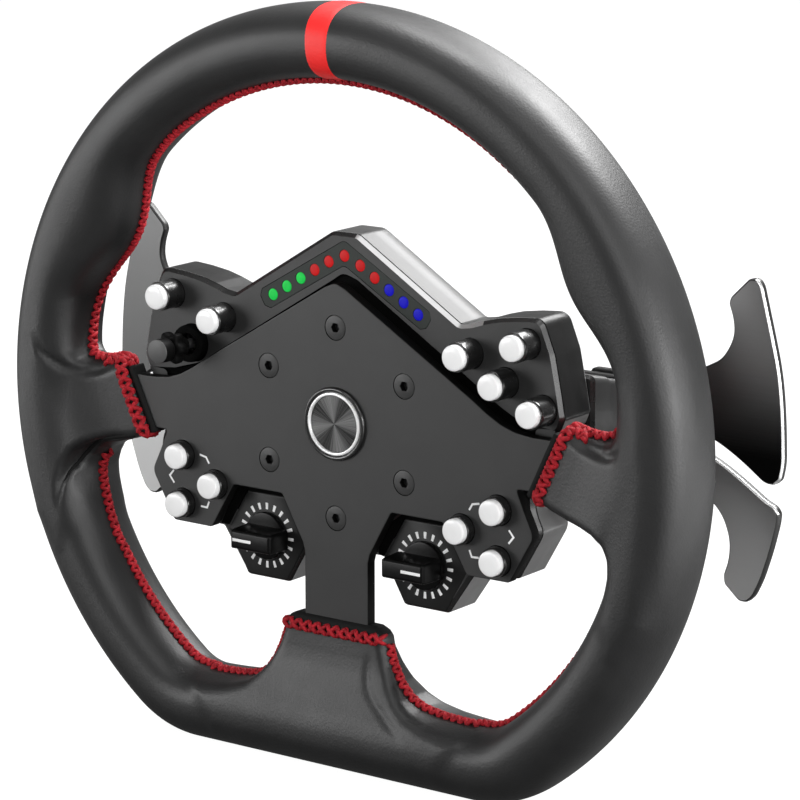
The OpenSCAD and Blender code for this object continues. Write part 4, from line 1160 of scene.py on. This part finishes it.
def build_knob(s):
    def outline(points, r):
        return Outline([(s * (DIAL[0] + x), DIAL[1] + z) for x, z in points], r)

    name = "dial_knob_right" if s > 0 else "dial_knob_left"
    bar = outline(((-11.1, -3.2), (-10.2, -3.95), (7.6, -3.95), (8.15, -3.2), (8.15, 3.2),
                   (7.6, 3.95), (-10.2, 3.95), (-11.1, 3.2)), 0.9)
    line = outline(((-1.9, -0.55), (6.6, -0.55), (6.6, 0.55), (-1.9, 0.55)), 0.15)
    parts = [lathe("k", (s * DIAL[0], DIAL[1]),
                   [(2.9, 12), (2.9, 4.9), (8.8, 4.9), (9, 4.6), (9, 3.9), (8.7, 3.45),
                    (8.2, 3.3), (3, 3.25)], GLOSS_SOFT, 60),
             shell("k", bar, [(-6.94, 1.5), (-6.8, 0.95), (-6.3, 0.5), (-5.4, 0.3), (3.2, 0),
                              (3.4, 0)], GLOSS_SOFT, sharp=40),
             shell("k", line, [(-7, 0.05), (-6.98, 0), (-6.85, 0)], INK)]
    place(join(name + "_pointer", parts), "knob_black", name, body=name)


for s in SIDES:
    build_knob(s)

# ---- sleeve lips with painted shade, and ink marks

# Black blocks over the plate at the side sleeves' mouths: the leather's edge, widened into a band
# of painted shade.
LIP = [(85.6, -15.2), (96.8, 8.9), (94.3, 9.6), (83.1, -14.2)]
lips = [shell("l", Outline(on_side(LIP, s), 0.8), [(-1, 0.5), (-0.75, 0.1), (-0.5, 0), (5.6, 0)],
              LEATHER_EDGE_AND_SHADE) for s in SIDES]
place(join("sleeve_lips_and_painted_shade", lips), "grip_leather")


def chevron(points, w):
    """A bent ink line of width w, given by its middle points."""
    left, right = [], []
    pts = [Vector(p) for p in points]
    for i, p in enumerate(pts):
        a = (p - pts[i - 1]).normalized() if i else None
        b = (pts[i + 1] - p).normalized() if i < len(pts) - 1 else None
        t = ((a or b) + (b or a)).normalized()
        n = Vector((-t.y, t.x))
        k = w / 2 / max(0.5, n.dot(Vector((-(a or b).y, (a or b).x))))
        left.append(tuple(p + n * k))
        right.append(tuple(p - n * k))
    return Outline(left + right[::-1], 0.08)


MARKS = (((63, -20.2), (60, -20.8), (58.6, -23.1)), ((75.5, -27.8), (77.5, -30.1), (75.4, -32.7)),
         ((62.8, -39.8), (59.8, -39.9), (58.8, -37.5)))
ink = [shell("c", chevron(on_side(pts, s), 0.75), [(-0.05, 0.02), (-0.03, 0), (0.3, 0)], INK)
       for s in SIDES for pts in MARKS]
place(join("plate_chevrons", ink), "plate")

# ---- paddles

SHIFT_BLADE = [(70, 6), (70, 19.6), (104, 19.8), (117, 25), (124.6, 29), (127.8, 33.7),
               (129.6, 38.5), (129.2, 43.8), (127.2, 49.4), (128, 51.6), (135.3, 58.8),
               (138.5, 59.2), (140.4, 57), (144.4, 42.1), (148.4, 26.7), (150.1, 10.9),
               (150.7, -5), (149.5, -11), (147, -13.1), (143, -13), (133.6, -6.3),
               (124.5, -1.1), (112, 3.6), (100, 5)]
CLUTCH_BLADE = [(70, -17.2), (70, -2), (100, -2), (112, -2.6), (124.7, -7.6), (133.8, -12.8),
                (144, -19.4), (147.6, -20.8), (149.3, -23.2), (148.9, -27), (146.4, -37.2),
                (142.7, -48.4), (139.6, -54.7), (136.9, -57.1), (133.6, -57.1),
                (127.6, -51.8), (127.1, -48.6), (129.2, -42.5), (129.4, -35.2),
                (126.8, -28.3), (123.8, -24.4), (117, -19), (104, -17.4)]
ARM = [(58, 50.3), (61, 51.5), (63.4, 54.9), (100, 54.95), (100, 58.45), (58, 58.45),
       (54.6, 57), (53.85, 54.3), (55, 51.4)]
SCREWS_X = (76, 90)
ARM_R = [3, 1.5, 1.2, 0.8, 0.8, 3, 3, 3, 3]


def blade_outline(points, s):
    """A small radius at a blade's corners, and a large one along its gentle bends."""
    pts, radii = [Vector(p) for p in points], []
    for i, p in enumerate(pts):
        a, b = (p - pts[i - 1]).normalized(), (pts[(i + 1) % len(pts)] - p).normalized()
        radii.append(3 if a.dot(b) < 0.8 else 400)
    return Outline(on_side(points, s), radii)


def build_paddle(which, s):
    side = "right" if s > 0 else "left"
    name, arm, body = ("%s_%s_%s" % (which, part, side) for part in ("blade", "arm", "paddle"))
    if which == "shift":
        points, screws_z, z0, z1 = SHIFT_BLADE, 12.8, 3.6, 18.4
        face, lit = BLADE_UPPER if s > 0 else BLADE_LEFT, Vector((1, 0, 0))
    else:
        points, screws_z, z0, z1 = CLUTCH_BLADE, -9.4, -18.6, -0.2
        face, lit = BLADE_LOWER if s > 0 else BLADE_LEFT_LOW_LIT, Vector((0, 0, 1))
    obj = shell(name + "_metal", blade_outline(points, s),
                [(58.5, 0.7), (58.62, 0.45), (59.1, 0.1), (59.3, 0), (61.2, 0), (61.5, 0.15),
                 (62, 0.7)], face, [Circle((s * x, screws_z), 1.62, 20) for x in SCREWS_X],
                [(58.5, 0.2), (58.7, 0), (62, 0)], side=BLADE_EDGE_SHADE,
                bevelled=BLADE_EDGE_HIGHLIGHT if s > 0 else BLADE_EDGE_SHADE)
    # Chamfers that turn away from lit lose the painted highlight and take the painted shade.
    mats = obj.data.materials
    for f in obj.data.polygons:
        if mats[f.material_index] == BLADE_EDGE_HIGHLIGHT and f.normal.dot(lit) < 0.2:
            f.material_index = mats.find(BLADE_EDGE_SHADE.name)
    place(obj, "blade", name, body=body)
    obj = prism(arm + "_black", Outline(on_side(ARM, s), ARM_R), z0, z1, 0.5, SATIN)
    shade(obj, 35)
    place(obj, "paddle_arm", arm, body=body)


for s in SIDES:
    for which in ("shift", "clutch"):
        build_paddle(which, s)

# ---- paddle housing

LUG = [(53.9, 48.5), (62.1, 48.5), (62.15, 54.3), (60.5, 57.4), (58, 58.4), (55.5, 57.4),
       (53.85, 54.3)]
LUG_R = [0.3, 0.3, 2, 2, 2, 2, 2]
TOP_SLOPE = 0.22


def housing_outline(half):
    return Outline([(-half, -21.9), (half, -21.9), (half, 25.3), (-half, 25.3)], 2.5)


around_hub = Circle(AXIS, 25.4, 64)
wide = shell("h", housing_outline(94.2), [(24.05, 1.3), (25.3, 0), (34.4, 0), (34.9, 0.6),
                                          (41, 0.6), (41.6, 1), (42, 1.8)], CASE_REAR,
             [around_hub], [(24.05, 0), (42, 0)], bevelled=CHAMFER, bore=CASE_REAR)
slope_from = loc((0, 24, 22))
for v in wide.data.vertices:
    if v.co.z > slope_from[2]:
        v.co.z -= (v.co.y - slope_from[1]) * TOP_SLOPE
block = [wide, shell("h", housing_outline(63.1), [(41, 0), (48.2, 0), (49.1, 0.5), (49.6, 1.5)],
                     CASE_REAR, [around_hub] + [Circle((s * 40, z), 3.1, 24)
                                                for s in SIDES for z in (18.4, -15)],
                     [(41, 0), (49.2, 0), (49.6, 0.4)])]
block += [prism("h", Outline(on_side(LUG, s), LUG_R), z0, z0 + 3, 0.3, CASE_REAR)
          for z0 in (-22, 0.2, 22.4) for s in SIDES]
place(join("paddle_block", block), "case", "paddle_housing")

# ---- hub

HUB_PROFILE = [(5.1, 4.6), (39.4, 4.6), (40, 5.2), (40, 7.95), (42, 7.95), (42.5, 8.4),
               (42.5, 11), (42, 11.5), (25.6, 11.5), (25, 12.1), (25, 70.6), (24.2, 70.9),
               (24.2, 72.1), (25, 72.4), (25, 73.4), (24.4, 74), (17, 74), (16, 73), (16, 44),
               (8.6, 44), (8.6, 38.3), (5.1, 38.3), (5.1, 4.6)]
FLUTE_HALF, INNER_R = 4.3, 28
COLLAR_PROFILE = [(25.3, 58.6), (30.2, 58.45), (31, 59.2), (31, 69.6), (30.2, 70.35),
                  (25.3, 70.3)]
place(lathe("hub_turned", AXIS, HUB_PROFILE, HUB, 96), "hub", "hub_body")


def scallop(r, a):
    """Twelve flutes, 1 mm deep, in the outer rings of the collar."""
    near = abs((math.degrees(a) + 15.0) % 30.0 - 15.0)
    return r - math.cos(min(near / FLUTE_HALF, 1.0) * math.pi / 2) if r > INNER_R else r


place(lathe("collar_scalloped", AXIS, COLLAR_PROFILE, COLLAR, 144, 35, scallop, loop=True),
      "collar", "release_collar", body="release_collar")

SPRING_R, WIRE, SPRING_TURNS, SPRING_POINTS = 26.1, 1.2, 2.5, 181
SPRING_FROM, SPRING_TO = 49.9, 58.1


def build_spring():
    """The collar's spring, wound between its two ends."""
    n, sides = SPRING_POINTS, 12
    t, b = np.meshgrid(np.linspace(0.0, 1.0, n), 2 * math.pi * np.arange(sides) / sides,
                       indexing="ij")
    a = 2 * math.pi * SPRING_TURNS * t
    r = SPRING_R + WIRE / 2 * np.cos(b)
    y = SPRING_FROM + WIRE / 2 + (SPRING_TO - SPRING_FROM - WIRE) * t + WIRE / 2 * np.sin(b)
    verts = np.stack([r * np.cos(a), y, r * np.sin(a)], -1).reshape(-1, 3)
    obj = add_mesh("spring_wound", verts, walls(n, sides) + caps(n, sides), STEEL)
    shade(obj, 50)
    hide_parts("collar_spring")
    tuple(loc((0, SPRING_FROM - 2.0, 0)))
    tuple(loc((0, SPRING_TO + 2.0, 0)))
    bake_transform(obj)


build_spring()

# ---- nodes kept from the solids

PLAIN = {"shell_screws": BLACK_STEEL, "module_screws": BLACK_STEEL, "light_board": BOARD,
         "main_board": BOARD, "button_switches": SATIN, "locking_balls": BRIGHT_PAINTED_REFLECTION,
         "contact_block": BRASS}
for node in ("rim_hoop", "button_nuts", "stick_yoke", "stick_carrier", "stick_shaft",
             "dial_encoders", "paddle_pins", "retaining_ring"):
    PLAIN[node] = STEEL
for node, obj in NODES.items():
    blade_screws = node.endswith(("screws_left", "screws_right"))
    material = BLACK_STEEL if blade_screws else PLAIN.get(node)
    if material:
        obj.data.materials.clear()
        obj.data.materials.append(material)

# ---- studio

GROUND = CAD_BOX[0][2] - 0.0004
LAMP_SIZE, LAMP_DISTANCE, LOWEST_LAMP = 0.62, 1.7, 0.2
WORLD_LIGHT, WORLD_IN_GLOSS, PAPER_IN_GLOSS, PAPER_WHITE = 0.04, 0.25, 0.1, 0.98
CARD_LIFT, CARD_ALBEDO = 0.0002, 0.8


def seen(tree, share):
    """1 for the camera and through clear pieces, share in reflections, and 0 for the rest."""
    rays = new_node(tree, "ShaderNodeLightPath").outputs
    mirrored = calculate(tree, "MULTIPLY", rays["Is Glossy Ray"], share)
    through = calculate(tree, "MAXIMUM", mirrored, rays["Is Transmission Ray"])
    return calculate(tree, "MAXIMUM", rays["Is Camera Ray"], through)


world = bpy.data.worlds.new("studio")
SCENE.world = world
world.use_nodes = True
background = world.node_tree.nodes["Background"]
fill(background, Color=(1, 1, 1, 1))
strength = new_node(world.node_tree, "ShaderNodeMapRange",
                    {"Value": seen(world.node_tree, WORLD_IN_GLOSS)}, To_Min=WORLD_LIGHT,
                    To_Max=1.0)
world.node_tree.links.new(strength.outputs["Result"], background.inputs["Strength"])
SCENE.view_settings.view_transform = "Standard"


def sheet(name, centre, half, lift, albedo):
    """A square of matt paper on the ground that the camera sees as white."""
    paper = Mat(name, 0.9, spec=0.0)
    fill(paper.bsdf, Base_Color=(albedo, albedo, albedo, 1), Emission_Color=(1, 1, 1, 1))
    glow = calculate(paper.tree, "MULTIPLY", seen(paper.tree, PAPER_IN_GLOSS), PAPER_WHITE)
    paper.feed("Emission Strength", glow)
    x, y, z = centre[0], centre[1], GROUND + lift
    mesh = bpy.data.meshes.new(name)
    mesh.from_pydata([(x - half, y - half, z), (x + half, y - half, z), (x + half, y + half, z),
                      (x - half, y + half, z)], [], [(0, 1, 2, 3)])
    mesh.materials.append(paper.m)
    add_object(name, mesh)


sheet("floor", (0, 0), 14.0, lift=0.0, albedo=0.1)
sheet("card_right", 0.72 * toward(62), 0.42, CARD_LIFT, CARD_ALBEDO)
sheet("card_left", 1.0 * toward(-100), 0.40, CARD_LIFT, CARD_ALBEDO)


def softbox(name, bearing, height, power):
    """A square lamp aimed at the wheel; bearing is from the camera's side, right is positive."""
    data = bpy.data.lights.new(name, "AREA")
    data.size, data.energy = LAMP_SIZE, power
    obj = add_object(name, data)
    x, y, z = LAMP_DISTANCE * toward(bearing, height)
    obj.location = (x, y, max(z, LOWEST_LAMP))
    look(obj, (0, 0, 0))


for lamp in (("back_right", 120, 55, 47), ("top", 180, 82, 26), ("right_low", 45, 6, 20),
             ("right_side", 75, 6, 7), ("front_low", 15, 6, 6), ("front", 0, 32, 5.5),
             ("left", -75, 6, 10), ("left_back", -105, 6, 4.5), ("left_top", -35, 52, 3.5),
             ("back_low", 152, 33, 10.5), ("back", 180, 55, 3)):
    softbox(*lamp)
